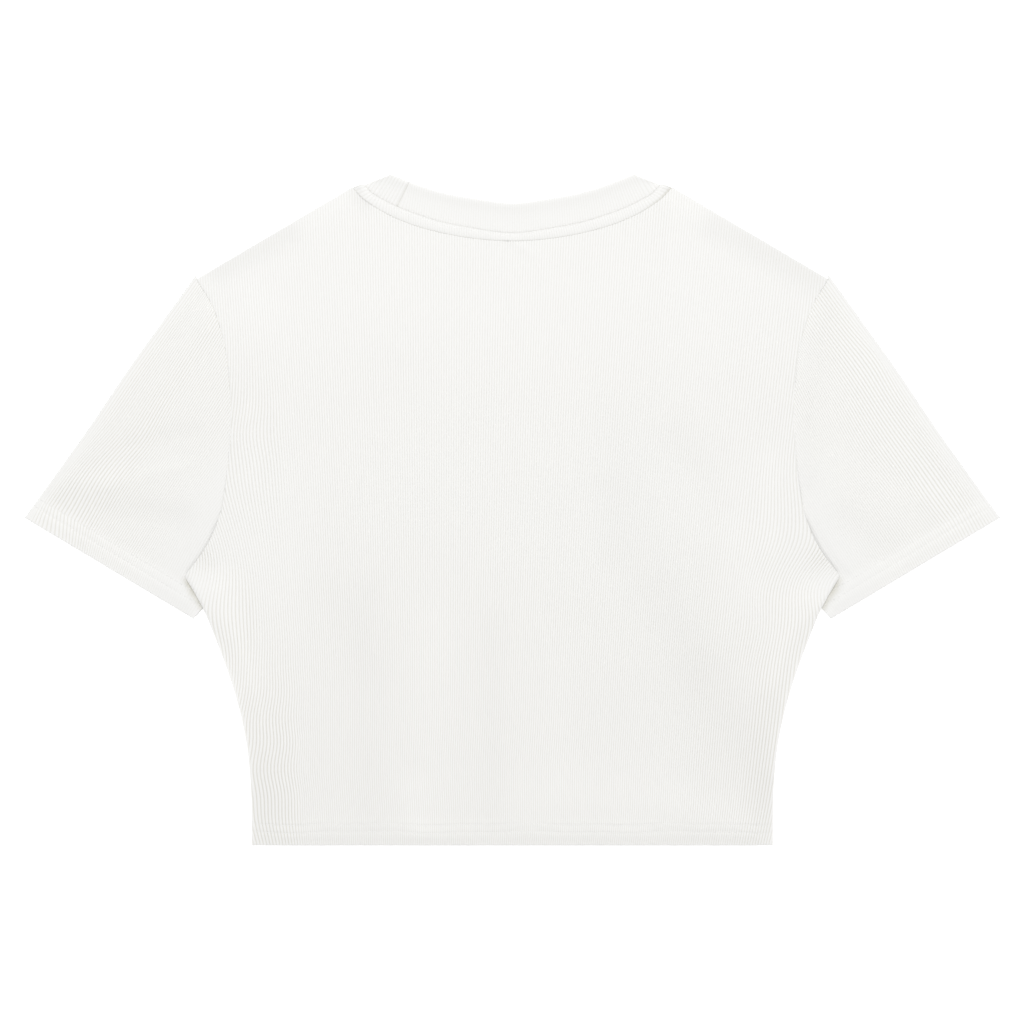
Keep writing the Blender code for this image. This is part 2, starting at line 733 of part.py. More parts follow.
def sleeve_point(q, place, side, upper, layers, raised):
    """A point of the sleeve's tube, in its upper or lower layer, so many layers in from the outside.

    side is 1 for the right sleeve and -1 for the left, and place is given for the right one.
    """
    x, y = place
    distance = min(q, 1 - q) * CUFF_WIDTH
    across = unit(np.subtract(CUFF_OUTER, CUFF_INNER)) * (1 if q < 0.5 else -1)
    near = np.clip(1 - distance / SLEEVE_ROLL, 0.0, 1.0)
    if upper:
        flat_z = sleeve_height(side * x, y) - layers * WALL
    else:
        flat_z = TUCKED_LIFT * tucked(x, y) + layers * WALL
    z = FOLD_Z + (flat_z - FOLD_Z) * math.sqrt(max(0.0, 1 - near**2))
    z += RIB_HEIGHT * raised * (1 - near)
    moved = np.array([x, y]) - across * WALL * near * min(layers, 1)
    return [side * moved[0], moved[1], z]


def sleeve_ring(ribbed):
    """Round the tube from its top fold, down the upper layer and back along the lower one.

    Each entry is (q, whether it is in the upper layer, how far a rib is raised there).
    """
    first = 0.4 / CUFF_WIDTH
    edge = [0.0, first, 2.0 / CUFF_WIDTH, SLEEVE_ROLL / CUFF_WIDTH]
    plain = edge + list(np.linspace(0.08, 0.92, 17)) + [1 - q for q in reversed(edge)]
    upper = [(q, True, 0) for q in plain]
    if ribbed:
        steps = np.linspace(0.0, 1.0, 2 * RIBS_ACROSS_SLEEVE + 1)
        ribs = [(w * (1 + 0.2 * (1 - w)), True, i % 2) for i, w in enumerate(steps)]
        ribs = [rib for rib in ribs if 1.5 * first < rib[0] < 1 - 1.5 * first]
        upper = upper[:2] + ribs + upper[-2:]
    return upper + [(q, False, 0) for q in plain[-2:0:-1]]


def make_sleeve(name, side):
    cloth = Cloth()

    def tube(ring, inside):
        lines = []
        for q, upper, raised in ring:
            line = []
            for place, layers in sleeve_rows(q, inside):
                thin = 1 + (layers - 1) * (1 - tucked(*place))
                line.append(sleeve_point(q, place, side, upper, thin if inside else 0, raised))
            lines.append(line)
        numbers = [row + [row[0]] for row in cloth.add(list(zip(*lines)))]
        cloth.skin(numbers)
        return numbers

    outer_ring = sleeve_ring(ribbed=True)
    inner_ring = sleeve_ring(ribbed=False)
    outer = tube(outer_ring, inside=False)
    inner = tube(inner_ring, inside=True)
    for end in (0, -1):
        join_rings(cloth, outer[end], inner[end], outer_ring, inner_ring)
    cloth.make(name)


def join_rings(cloth, outer, inner, outer_ring, inner_ring):
    """The tube's end face: each layer from fold to fold."""
    outer_turn = sum(entry[1] for entry in outer_ring) - 1
    inner_turn = sum(entry[1] for entry in inner_ring) - 1
    cloth.join(outer[: outer_turn + 1], inner[: inner_turn + 1])
    cloth.join(outer[outer_turn:], inner[inner_turn:])


# ---------------------------------------------------------------- neckband


def make_neckband():
    cloth = Cloth()
    last = len(BAND) - 1

    def ring(layer, stations, raised):
        right = []
        for number in stations:
            station = BAND[number]
            lift = raised * RIB_HEIGHT * (number % 2)
            height = layer.height
            if height > BAND_UNDER:
                height += lift * station.ribs_out
            elif layer.reach < BAND_INSIDE:
                height -= lift * station.ribs_in
            right.append(band_point(station, Layer(layer.reach, height)))
        return right + [[-x, y, z] for x, y, z in right[-2:0:-1]]

    dense = list(range(len(BAND)))
    turn = range(STATIONS_BACK + STATIONS_PEAK, STATIONS_BACK + STATIONS_PEAK + TURN_STEPS + 1)
    peak = range(STATIONS_BACK - 4, STATIONS_BACK + STATIONS_PEAK, 2)
    sparse = sorted({n for n in dense if n % 6 == 0} | set(peak) | set(turn) | {0, last})
    skin = cloth.add([ring(layer, dense, 1) for layer in BAND_SKIN])
    lining = cloth.add([ring(layer, sparse, 0) for layer in BAND_LINING])
    for numbers in (skin, lining):
        cloth.skin([row + [row[0]] for row in numbers])
    for end in (0, -1):
        close_ring(cloth, skin[end], lining[end], last, sparse)
    cloth.make("neckband")


def close_ring(cloth, outer, inner, last, sparse):
    """The strip's end face, in the stretches that the two lines have in common."""
    marks = sparse + [2 * last - n for n in reversed(sparse[:-1])]
    outer = outer + [outer[0]]
    inner = inner + [inner[0]]
    for place, (start, end) in enumerate(zip(marks, marks[1:])):
        cloth.join(outer[start : end + 1], inner[place : place + 2])


def main():
    for item in list(bpy.data.objects):
        bpy.data.objects.remove(item, do_unlink=True)
    make_front()
    make_back()
    make_sleeve("sleeve_right", 1)
    make_sleeve("sleeve_left", -1)
    make_neckband()


main()
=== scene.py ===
"""The looks of a cropped T-shirt in fine rib knit, laid flat on a pale surface with its front up.

Each cut piece of the shirt is one shell of cloth on the form of its solid, with every rib of the
knit raised, the hems and seams turned in, the creases where they lie and the cover stitching sewn
on. Shapes are worked out in millimetres and made in metres.
"""

import math
from collections import namedtuple

import bpy
import numpy as np
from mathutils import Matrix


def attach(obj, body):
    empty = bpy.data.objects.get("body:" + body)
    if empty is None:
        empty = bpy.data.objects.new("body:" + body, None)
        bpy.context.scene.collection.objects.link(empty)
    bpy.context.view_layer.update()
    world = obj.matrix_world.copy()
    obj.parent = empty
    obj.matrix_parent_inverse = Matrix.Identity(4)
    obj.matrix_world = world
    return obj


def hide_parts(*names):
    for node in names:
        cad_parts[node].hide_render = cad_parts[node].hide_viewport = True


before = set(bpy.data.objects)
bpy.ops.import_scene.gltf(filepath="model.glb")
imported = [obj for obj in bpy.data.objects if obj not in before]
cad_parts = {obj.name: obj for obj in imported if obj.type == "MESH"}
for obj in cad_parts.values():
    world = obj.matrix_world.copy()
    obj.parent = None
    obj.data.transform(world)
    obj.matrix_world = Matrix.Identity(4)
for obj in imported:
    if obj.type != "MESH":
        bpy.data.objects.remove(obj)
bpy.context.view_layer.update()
MM = 0.001

# ---------- sizes, in millimetres

# The knit. Ribs are counted from the middle of a panel, or from the outer fold of a sleeve.
COLUMNS = 3  # of points across a rib
RIB_HEIGHT = 0.45
RIBS_LEFT = 138  # the outermost ribs that the panels' sides cut off
RIBS_RIGHT = 132
SLEEVE_RIBS = 76
COURSE = 0.95  # the length of one row of knitting
EVEN_PITCH = 1.6  # wider ribs stand higher and finer ones lower, within these ranges
BODY_RANGE = (0.7, 1.35)
SLEEVE_RANGE = (0.7, 1.25)
MIDDLE_PITCH = 1.6  # from rib to rib at y = 0
PITCH_GROWTH = 0.001  # more for each millimetre up
HEM_PITCH = 0.04  # more again towards the hem
HEM_PITCH_Y = -90.0
HEM_PITCH_FADE = 110.0
SPREAD_EASE = 8.0  # over how many ribs a spread sets in
LEAN = 0.03  # to the right for each millimetre up
LEAN_Y = -75.0

# How light the cloth looks, much of it painted light and shade.
LOW_VALLEY_SHADE = 0.4  # more painted shade in the valleys towards the hem
LOW_Y = 30.0
LOW_FADE = 110.0
HIGH_DEPTH = 0.25  # shallower ones towards the neck
HIGH_Y = 60.0
HIGH_FADE = 100.0
FOLD_PAINTED_SHADE = 0.02  # painted light and shade: lighter for each millimetre that a fold stands up, darker where it sinks
DEEP_PAINTED_SHADE = 0.08  # painted shade: darker for each millimetre where a sleeve lies deeper than 1 mm
HEM_EDGE_PAINTED_LIGHT = 0.02  # painted light: lighter close to a hem's edge
EDGE_PAINTED_LIGHT = 0.03  # painted light: lighter at any edge
GLOW_WIDTH = 1.3
VALLEY_START = -0.3  # the painted shade in the valleys grows away from an edge, from here to its full strength
VALLEY_WIDTH = 2.0
STRETCH_TONE = 0.01  # darker where the ribs are pulled wider than this pitch
STRETCH_PITCH = 1.7
# Painted light: lighter on a cuff.
CUFF_PAINTED_LIGHT = 0.012
SLEEVE_TONE = 0.012
SLEEVE_VALLEY_SHADE = {-1: 1.0, 1: 0.85}  # how strong the painted shade in the valleys of the sleeves' ribs is
SMOOTH_PAINTED_SHADE = 0.042  # painted shade: darker where the ribs of a sleeve lie flat
SIDE_SHADOW = 0.13  # darker under the sides of the front
SIDE_SHADOW_WIDTH = 3.2
SHOULDER_PAINTED_SHADE = 0.014  # painted shade: darker along the shoulder
SHOULDER_SHADE_WIDTH = 9.0

# Heights above the surface.
SURFACE_TOP = 5.0
NECK_TOP = 5.2
NECK_RISE_START = 8.0  # below the neck seam, where it has come up to the neckband
NECK_RISE_WIDTH = 30.0
ARMPIT_TOP = 5.8
ARMPIT_X = 165.0  # where the rise to the armpit starts, and its width and height
ARMPIT_WIDTH = 35.0
ARMPIT_Y = -35.0
ARMPIT_REACH = 70.0
ARMPIT_FADE = 60.0
TUCKED_TOP = {-1: 4.7, 1: 4.1}
TUCKED_LIFT = 1.35
FOLD_Z = 2.7
LAYER_GAP = 0.1  # what stays between a turned edge and the plane of the fold

# The body.
HEM_Y = -224.8
HEM_DEPTH = 15.6
HEM_STITCHES = (9.0, 14.3)  # lines of cover stitching above the edge
EDGE_SLOPE = 14.0  # how far inside a folded edge the cloth comes down
EDGE_SHARE = 0.72  # the share of its height that it has lost at the edge
EDGE_ROLL = 0.7  # the rest goes in a quarter round of this width
FREE_ROLL = 1.2  # the same for the front's free edge at the armpit
SHOULDER_POINT = (211.5, 154.4)
NECK_SIDE = (107.2, 215.9)
TIP_Y = -44.5  # the armpit's tip
CLOSED_Y = -96.0
PARTED_Y = -66.0
SPLIT_Y = 60.0  # rows run level below it and fan out above it
FINE_BELOW = 24.0  # rows are closer from this far below the tip
FINE_END_Y = 2.0  # up to here
SIDE_X = 120.0  # where the sides of a panel begin
SIDE_FADE = 40.0
SIDE_FLATNESS = 0.22  # how much lower the ribs are there, around a height
SIDE_FLAT_Y = -30.0
SIDE_FLAT_REACH = 75.0
SEAM_GAP = 0.1
NECK_GAP = 0.03
SEAM_ROLL = 0.9
SEAM_DIP = 0.4
NECK_SEAM_SHARE = 0.4
STITCH_DIP = 0.15
HEM_LIFT = 0.3  # a hem's second layer lifts it, up to a step
HEM_STEP = 2.2
HEM_STEP_START = 0.6
HEM_FALL = 0.35  # the share of the height lost at a hem's edge
HEM_FALL_WIDTH = 8.0
FAR = 50.0  # added to a distance where there is no such edge

# The sleeves.
CUFF_OUTER = (326.0, -4.7)
CUFF_INNER = (212.7, -72.4)
SLEEVE_TOP_END = (212.4, 153.6)
SLEEVE_HIDDEN_END = (185.0, -41.0)
CUFF_DEPTH = 17.0
CUFF_STITCHES = (10.2, 15.9)
LONGEST_RIB = 230.0
TUCK_START_Y = 72.0
TUCK_FULL_Y = 22.0
TUCK_CLEAR = 3.0  # how far beyond the armhole the sleeve stays down
TUCK_FADE = 7.0
SINK = {-1: 0.6, 1: 0.9}  # how far a sleeve's ribs sink beside the front's edge
SINK_WIDTH = 2.2
CUFF_TWIST = {-1: 7.0, 1: 2.0}  # how far the cuff's ribs are pulled in at its edge
FOLD_BULGE = 1.7  # how far the outer fold stands out
CUFF_DROP = 0.9  # how far the cuff's edge hangs below its corners
BULGE_START = 60.0
BULGE_WIDTH = 70.0
SLEEVE_ROWS = 38
SLEEVE_WALL = 1.2
# Shares of the cuff's width, from the outer fold.
BULGE_Q = 0.3  # where the bulge has ended
FLAT_Q = 0.55  # past it, the ribs lie flatter
FLAT_FADE = 0.3
LAST_TURN_Q = 0.88  # past it, they turn to follow the inner fold
FOLD_SOFT = 9.0  # they also lie flatter this close to the outer fold, in millimetres

# The neckband.
BAND_OUTSIDE = 6.5
BAND_INSIDE = 26.0
BAND_CORNER = (99.9, 218.3)
BAND_PEAK = (81.3, 224.8)
PEAK_T = 0.8  # where it is from the middle of the back to the corner
CORNER_OUT = (0.6, 0.8)
CORNER_INSET = 1.0
CORNER_FLAT = 0.4  # the share of the band's thickness that stands out at its turn
RIBS_BACK = 52
RIBS_PEAK = 5
RIBS_TURN = 3
RIBS_FRONT = 62
BAND_COLUMNS = 4
JOIN_T = 0.665  # where the strip's ends are joined, in the same measure
FAN_T = 0.012  # how far the ribs that start at the join are spread along the edge
JOIN_STEP = 170
FAN_STEPS = 12
BAND_SLANT = {-1: 0.2, 1: 2.2}  # how far outwards a rib of the front runs, from the edge to the seam
BAND_RIB = (0.0, 0.72, 1.0, 0.72)
BAND_RIB_HEIGHT = 0.35
# The lean of the inside's ribs in degrees: at the right corner, and growing with a power of t; on
# the left, before the join, across it and past it.
CORNER_LEAN = 50.0
CORNER_POWER = 2.6
BEFORE_JOIN = 8.0
AT_JOIN = 18.0
PAST_JOIN = 18.0
SEAM_END_PAINTED_SHADE = 0.1  # painted shade: darker beside the seam, towards the right corner
SEAM_END_SHADE_X = 84.0
SEAM_END_SHADE_FADE = 22.0
LEAST_SHOWN = 4.0  # how far down the inside is modelled where the front's edge hides it

Fold = namedtuple("Fold", "x0 y0 x1 y1 width height")
Spread = namedtuple("Spread", "rib pitch y reach")
Wave = namedtuple("Wave", "x y reach_x reach_y length phase size")
Push = namedtuple("Push", "across reach wide tall size")
CuffRibs = namedtuple("CuffRibs", "lean fold_share wide fine start taken")
Layer = namedtuple("Layer", "reach front back inner tone")
Spot = namedtuple("Spot", "x y reach share")


def table(kind, *rows):
    """The rows of a table, whose columns have the names of a kind of row."""
    return [kind(*values) for values in rows]


# Edges at both sides of the shirt: y, x.
SIDE = (
    (HEM_Y, 174.5), (-190, 174.9), (-155, 178.2), (-122, 186), (-90, 197.2), (-64, 207.8),
    (TIP_Y, 219.2),
)
ARMHOLE = (
    SIDE[-1], (-26.8, 206), (-7.5, 197), (18, 191.8), (55, 189), (96, 190.4), (120, 195),
    (137, 201.2), (154.4, 211.5),
)
SLEEVE_END = (
    (-41, 185), (-22, 186.2), (0, 187.6), (20, 188.4), (40, 188.2), (62, 188), (80, 189),
    *ARMHOLE[5:8], (154.4, 211.6),
)
# The neckband's seam at the front, and its upper edges: x, y.
FRONT_SEAM = (
    (-26.8, 181.4), (0, 179.6), (26.8, 181.4), (48.9, 185.4), (73.7, 193), (91.8, 202.3),
    (100.5, 208.7), (107.2, 215.9),
)
FRONT_CREST = (
    (-27.5, 188.7), (0, 185.3), (27.5, 188.7), (51, 193.6), (66.3, 198.6), (84.4, 206.4),
    (95.1, 213.1), (99.9, 218.3),
)
BACK_CREST = (
    (-22.8, 208.1), (0, 205.4), (22.8, 208.1), (44.2, 211.9), (65, 218.2), (81.3, 224.8),
)

# Where the ribs on the left and on the right spread wider, beyond a rib: at the hem's corner, the
# armpit and the armhole on the left, and all along, down the side and at the armhole on the right.
SPREADS = {
    -1: table(
        Spread,  # rib, pitch, y, reach
        (95, 1.2, -185, 75),
        (110, 1.2, -70, 27),
        (95, 0.9, 30, 50),
    ),
    1: table(
        Spread,  # rib, pitch, y, reach
        (80, 0.27, 0, 260),
        (105, 0.8, -130, 110),
        (92, 0.7, -10, 25),
    ),
}
# Where the ribs on both sides of the body lie flatter, or stand higher, by a share.
SPOTS = table(
    Spot,  # x, y, reach, share
    (212, -52, 13, -0.6),
    (206, -32, 8, 0.6),
)
# Gentle waves of the ribs, along each rib: most of them start at the middle of their place, and the
# one with a quarter turn is a single bow.
WAVES = table(
    Wave,  # x, y, reach_x, reach_y, length, phase, size
    (-160, -165, 25, 55, 36, 0, 1),
    (165, -68, 12, 28, 95, 0, -2.5),
    (0, -190, 150, 40, 105, 0, -1),
    (209, -41, 26, 42, 55, 0, 3.4),
    (-173, 50, 15, 20, 80, 0.25, -2),
)
# Soft ridges (height above 0) and troughs (below 0) of the front and the sleeves.
FOLDS = table(
    Fold,  # x0, y0, x1, y1, width, height
    (-121, -60, -95, -113, 16, -0.5),
    (-98, -60, -96, -215, 12, -0.6),
    (-178, -170, -165, -215, 14, -0.9),
    (-55, -80, -54, -215, 16, 0.6),
    (-68, -190, -66, -212, 10, 0.8),
    (-14, -80, -13, -215, 9, -0.6),
    (30, -110, 31, -190, 12, 0.4),
    (12, -195, 90, -195, 22, 0.7),
    (70, 50, 90, -28, 20, -0.6),
    (98, -58, 118, -100, 20, -1),
    (130, -124, 172, -186, 22, -1.1),
    (138, 8, 178, -66, 16, 0.5),
    (-175, 65, -176, 20, 8, 0.5),
    (-196, -56, -184, -115, 14, 1.7),
    (-178, -130, -174, -165, 10, 0.9),
    (198, -62, 179, -115, 13, 1.1),
    (112, 45, 140, 0, 14, -0.8),
    (64, 10, 68, -35, 12, -0.6),
    (171, 30, 174, -25, 9, 0.7),
    (112, -198, 148, -208, 12, 0.8),
    (172, -185, 172, -212, 8, -0.8),
    (-196, 159, -150, 183, 9, -1.8),
    (136, 188, 202, 153, 11, -2),
    (-172, 135, -170, 130, 17, 0.5),
    (3, 177.5, 16, 171.5, 2.2, 0.6),
    (-108, 211, -99, 202, 4, -1.4),
    (-2, 175.5, 12, 168.5, 2.6, -0.4),
)
SLEEVE_FOLDS = table(
    Fold,  # x0, y0, x1, y1, width, height
    (214, 138, 203, 72, 8, -0.6),
    (-203, 132, -199, 124, 8, 0.8),
    (203, 132, 199, 124, 8, 0.5),
    (-300, 5, -222, -5, 10, -1),
    (200, 56, 199, 14, 7, -0.8),
    (226, -6, 252, -26, 11, -0.8),
    (-274, 16, -222, 29, 5, 0.6),
    (-256, 44, -214, 52, 6, -0.6),
    (-288, 18, -262, 26, 6, 0.4),
    (258, 10, 296, 6, 9, 0.4),
    (-215.5, -50, -207.5, -64, 4.2, -2.2),
    (216.5, -52, 208, -66, 4.2, -1.9),
)
# The ribs of each sleeve where they leave the cuff: their lean in degrees, the share of the width
# over which they turn to it from the outer fold, and their pitches: wide ones at the outer fold and
# fine ones beyond, with the change beginning at the start rib and taking so many ribs.
CUFF_RIBS = {
    -1: CuffRibs(lean=32, fold_share=0.3, wide=2.05, fine=1.55, start=13, taken=12),
    1: CuffRibs(lean=32, fold_share=0.8, wide=2, fine=1.5, start=10, taken=35),
}
# Where the ribs of each sleeve are pushed towards the outer fold (size above 0) or away from it.
PUSHES = {
    -1: table(
        Push,  # across, reach, wide, tall, size
        (25, 52, 20, 27, 4.5),
        (15, 14, 16, 38, 5.5),
        (47, 85, 18, 20, -2),
        (105, 55, 22, 40, 4.5),
    ),
    1: table(
        Push,  # across, reach, wide, tall, size
        (15, 45, 11, 42, 2.2),
        (36, 36, 12, 25, -2),
        (52, 85, 25, 28, -3),
        (65, 160, 20, 30, 4),
        (8, 135, 14, 20, 2.5),
    ),
}


# ---------- curves


def curve_through(rows):
    """A smooth function of the rows' first column: cubic pieces whose slopes match where they meet."""
    at, value = (np.array(column, float) for column in zip(*rows))
    slope = np.gradient(value, at)

    def read(where):
        piece = np.clip(np.searchsorted(at, where) - 1, 0, len(at) - 2)
        span = at[piece + 1] - at[piece]
        t = np.clip((where - at[piece]) / span, 0.0, 1.0)
        start = (1 + 2 * t) * (1 - t) ** 2 * value[piece] + t * (1 - t) ** 2 * span * slope[piece]
        end = t * t * (3 - 2 * t) * value[piece + 1] - t * t * (1 - t) * span * slope[piece + 1]
        return start + end

    return read


side_edge = curve_through(SIDE)
armhole = curve_through(ARMHOLE)
sleeve_end = curve_through(SLEEVE_END)
front_seam = curve_through(FRONT_SEAM)
front_crest = curve_through(FRONT_CREST)
back_crest = curve_through(BACK_CREST)


def blend(t):
    """0 up to t = 0, 1 from t = 1, and a smooth step between."""
    t = np.clip(t, 0.0, 1.0)
    return t * t * (3 - 2 * t)


def bell(t):
    return np.exp(-(t**2))


def by_side(x, values):
    """The value of a place's own side of the shirt."""
    return np.where(x > 0, values[1], values[-1])


def unit(vector):
    vector = np.asarray(vector, float)
    return vector / np.linalg.norm(vector)


def quarter_round(distance, radius):
    """1 from a radius away and 0 at the edge, with a quarter of an ellipse between."""
    t = np.clip(1 - distance / radius, 0.0, 1.0)
    return np.sqrt(1 - t * t)


def side_height(distance):
    """The share of a cloth's height above the fold that is left near an edge which falls softly."""
    return 1 - EDGE_SHARE * (1 - blend(np.maximum(distance, 0.0) / EDGE_SLOPE))


def edge_height(distance):
    """The same where the last of the height goes in a quarter round."""
    return side_height(distance) - (1 - EDGE_SHARE) * (1 - quarter_round(distance, EDGE_ROLL))


# ---------- heights of the upper layer


def folds(x, y, table):
    """The folds' height at each place: a rounded section along each, faded at both ends."""
    total = 0.0
    for fold in table:
        along = np.array([fold.x1 - fold.x0, fold.y1 - fold.y0])
        length = np.hypot(*along)
        t = ((x - fold.x0) * along[0] + (y - fold.y0) * along[1]) / length**2
        off = ((x - fold.x0) * along[1] - (y - fold.y0) * along[0]) / length
        beyond = length * np.maximum(0.0, np.abs(t - 0.5) - 0.5)
        total = total + fold.height * bell(np.hypot(off, beyond) / fold.width)
    return total


def surface(x, y):
    """The valleys' height on the upper layer, which rises a little to the neckband."""
    below = front_seam(np.minimum(np.abs(x), NECK_SIDE[0])) - y
    near_neck = 1 - blend((below - NECK_RISE_START) / NECK_RISE_WIDTH)
    return SURFACE_TOP + (NECK_TOP - SURFACE_TOP) * near_neck + folds(x, y, FOLDS)


def painted_fold_shade(height, deep=0.0):
    """How light the cloth looks, as painted light and shade: lighter on a ridge, a little darker where a
    fold keeps the light out.
    """
    return 1 + FOLD_PAINTED_SHADE * height - deep * np.maximum(-1.0 - height, 0.0)


def painted_edge_light(distance):
    """How much lighter the cloth is painted at its very edge, where light comes through it."""
    return EDGE_PAINTED_LIGHT * (1 - blend(distance / GLOW_WIDTH))


def valley_shade_fade(distance):
    """How much of the painted shade in the ribs' valleys is kept at a distance from an edge, where light
    comes through.
    """
    return blend((distance - VALLEY_START) / VALLEY_WIDTH)


def under_armhole(x, y):
    """How far the sleeve's ribs sink beside the lower part of the armhole, where the front lies on it."""
    distance = np.maximum(np.abs(x) - armhole(y), 0.0)
    along = blend((y + 48.0) / 10.0) * (1 - blend((y + 14.0) / 16.0))
    return by_side(x, SINK) * bell(distance / SINK_WIDTH) * along


def side_shadow(x, y):
    """1 where a sleeve lies close beside the side of the front, below the armpit."""
    beyond = np.maximum(np.abs(x) - side_edge(np.minimum(y, TIP_Y)), 0.0)
    return bell(beyond / SIDE_SHADOW_WIDTH) * blend((TIP_Y + 1.0 - y) / 5.0)


def outline_x(y):
    """The front's outline on either side: its side edge up to the armpit's tip, then the armhole."""
    return np.where(y < TIP_Y, side_edge(y), armhole(y)) + FAR * (y > SHOULDER_POINT[1])


def tucked(x, y):
    """1 where the sleeve lies inside the body, fading out just beyond the armhole's lower part."""
    low = blend((TUCK_START_Y - y) / (TUCK_START_Y - TUCK_FULL_Y))
    return low * (1 - blend((np.abs(x) - outline_x(y) - TUCK_CLEAR) / TUCK_FADE))


def front_height(x, y):
    across = blend((np.abs(x) - ARMPIT_X) / ARMPIT_WIDTH)
    rise = across * blend((ARMPIT_REACH - np.abs(y - ARMPIT_Y)) / ARMPIT_FADE)
    return surface(x, y) + (ARMPIT_TOP - SURFACE_TOP) * rise


def sleeve_height(x, y):
    high = surface(x, y)
    low = by_side(x, TUCKED_TOP)
    return high + (low - high) * tucked(x, y) + folds(x, y, SLEEVE_FOLDS) - under_armhole(x, y)


# ---------- ribs and outline of the body


def rib_x(rib, y):
    """X of a rib, counted from the middle with the left ribs below 0, at the height y."""
    count = np.abs(rib)
    wider = HEM_PITCH * blend((HEM_PITCH_Y - y) / HEM_PITCH_FADE)
    x = (MIDDLE_PITCH + PITCH_GROWTH * y + wider) * count
    for side, spreads in SPREADS.items():
        on_side = rib * side > 0
        for spread in spreads:
            beyond = np.maximum(count - spread.rib, 0.0) * on_side
            eased = beyond**2 / (beyond + SPREAD_EASE)
            x = x + spread.pitch * eased * bell((y - spread.y) / spread.reach)
    x = np.sign(rib) * x + LEAN * (y - LEAN_Y)
    for wave in WAVES:
        within = bell((x - wave.x) / wave.reach_x) * bell((y - wave.y) / wave.reach_y)
        turns = (y - wave.y) / wave.length + wave.phase
        x = x + wave.size * within * np.sin(2 * np.pi * turns)
    return x


SHOULDER_SLOPE = (NECK_SIDE[1] - SHOULDER_POINT[1]) / (SHOULDER_POINT[0] - NECK_SIDE[0])


def shoulder_y(x):
    return SHOULDER_POINT[1] + (SHOULDER_POINT[0] - np.abs(x)) * SHOULDER_SLOPE


def top_y(seam, x):
    """The panel's top edge: along the shoulder, and a seam's gap below the neckband between them."""
    x = np.abs(x)
    inside = np.minimum(x, NECK_SIDE[0])
    slope = seam(np.minimum(inside + 0.5, NECK_SIDE[0])) - seam(inside - 0.5)
    neck = seam(inside) - NECK_GAP * np.hypot(1.0, slope)
    return np.where(x >= NECK_SIDE[0], shoulder_y(x), neck)


def shoulder_distance(x, y):
    """How far inside the line of the shoulder a place lies."""
    return (shoulder_y(x) - y) / math.hypot(1.0, SHOULDER_SLOPE)


def armhole_distance(x, y):
    slope = armhole(y + 0.5) - armhole(y - 0.5)
    return (armhole(y) - np.abs(x)) / np.hypot(1.0, slope) + FAR * (y < TIP_Y)


def neck_distance(seam, x, y):
    return top_y(seam, x) - y + FAR * (np.abs(x) >= NECK_SIDE[0])


def side_distance(x, y):
    return side_edge(np.minimum(y, TIP_Y)) - np.abs(x) + FAR * (y > TIP_Y)


def near_side(x):
    """0 in the middle of a panel and 1 towards its sides."""
    return blend((np.abs(x) - SIDE_X) / SIDE_FADE)


def closed_share(y):
    """1 where the side is closed round its fold, 0 where its two layers part for the sleeve."""
    return 1 - blend((y - CLOSED_Y) / (PARTED_Y - CLOSED_Y))


# ---------- shells of cloth


class Shell:
    """The points, the places in the knit and the faces of one piece of cloth."""

    def __init__(self):
        self.points = []
        self.knit = []
        self.tones_and_painted_light = []
        self.faces = []
        self.thread = []
        self.count = 0

    def add(self, x, y, z, rib, course, tone=1.0, depth=1.0):
        """Adds a grid of points and returns their numbers in the same grid."""
        grids = np.broadcast_arrays(x, y, z, rib, course, tone, depth)
        self.points.append(np.stack(grids[:3], axis=-1).reshape(-1, 3))
        self.knit.append(np.stack(grids[3:5], axis=-1).reshape(-1, 2))
        # The tone with the painted light and shade of each point, and how strong the painted shade in its
        # rib valleys is.
        self.tones_and_painted_light.append(np.stack(grids[5:], axis=-1).reshape(-1, 2))
        numbers = np.arange(grids[0].size).reshape(grids[0].shape) + self.count
        self.count += grids[0].size
        return numbers

    def skin(self, numbers, up=True, thread=False):
        """Faces between neighbouring rows and columns. Joined points make triangles, or none."""
        a, b = numbers[..., :-1, :-1], numbers[..., :-1, 1:]
        c, d = numbers[..., 1:, 1:], numbers[..., 1:, :-1]
        quads = np.stack([a, b, c, d] if up else [d, c, b, a], axis=-1).reshape(-1, 4)
        low, high = (a == b).ravel(), (c == d).ravel()
        if not up:
            low, high = high, low
        whole = quads[~low & ~high]
        split = np.concatenate([quads[low & ~high][:, [0, 2, 3]], quads[high & ~low][:, :3]])
        for faces in (whole, split):
            self.faces.append(faces)
            self.thread.append(np.full(len(faces), thread))

    def make(self, name, materials):
        faces = np.concatenate([f.ravel() for f in self.faces])
        used, loops = np.unique(faces, return_inverse=True)
        points = np.concatenate(self.points)[used] * MM
        layers = {"knit": np.concatenate(self.knit)[used], "tone": np.concatenate(self.tones_and_painted_light)[used]}
        sizes = np.concatenate([np.full(len(f), f.shape[1]) for f in self.faces])
        mesh = bpy.data.meshes.new(name)
        mesh.vertices.add(len(points))
        mesh.vertices.foreach_set("co", points.astype(np.float32).ravel())
        mesh.loops.add(len(loops))
        mesh.loops.foreach_set("vertex_index", loops.astype(np.int32))
        mesh.polygons.add(len(sizes))
        mesh.polygons.foreach_set("loop_start", (np.cumsum(sizes) - sizes).astype(np.int32))
        mesh.polygons.foreach_set("use_smooth", np.ones(len(sizes), bool))
        mesh.polygons.foreach_set("material_index", np.concatenate(self.thread).astype(np.int32))
        mesh.update(calc_edges=True)
        for layer_name, values in layers.items():
            layer = mesh.uv_layers.new(name=layer_name)
            layer.data.foreach_set("uv", values[loops].astype(np.float32).ravel())
        for material in materials:
            mesh.materials.append(material)
        piece = bpy.data.objects.new(name, mesh)
        bpy.context.scene.collection.objects.link(piece)
        return piece


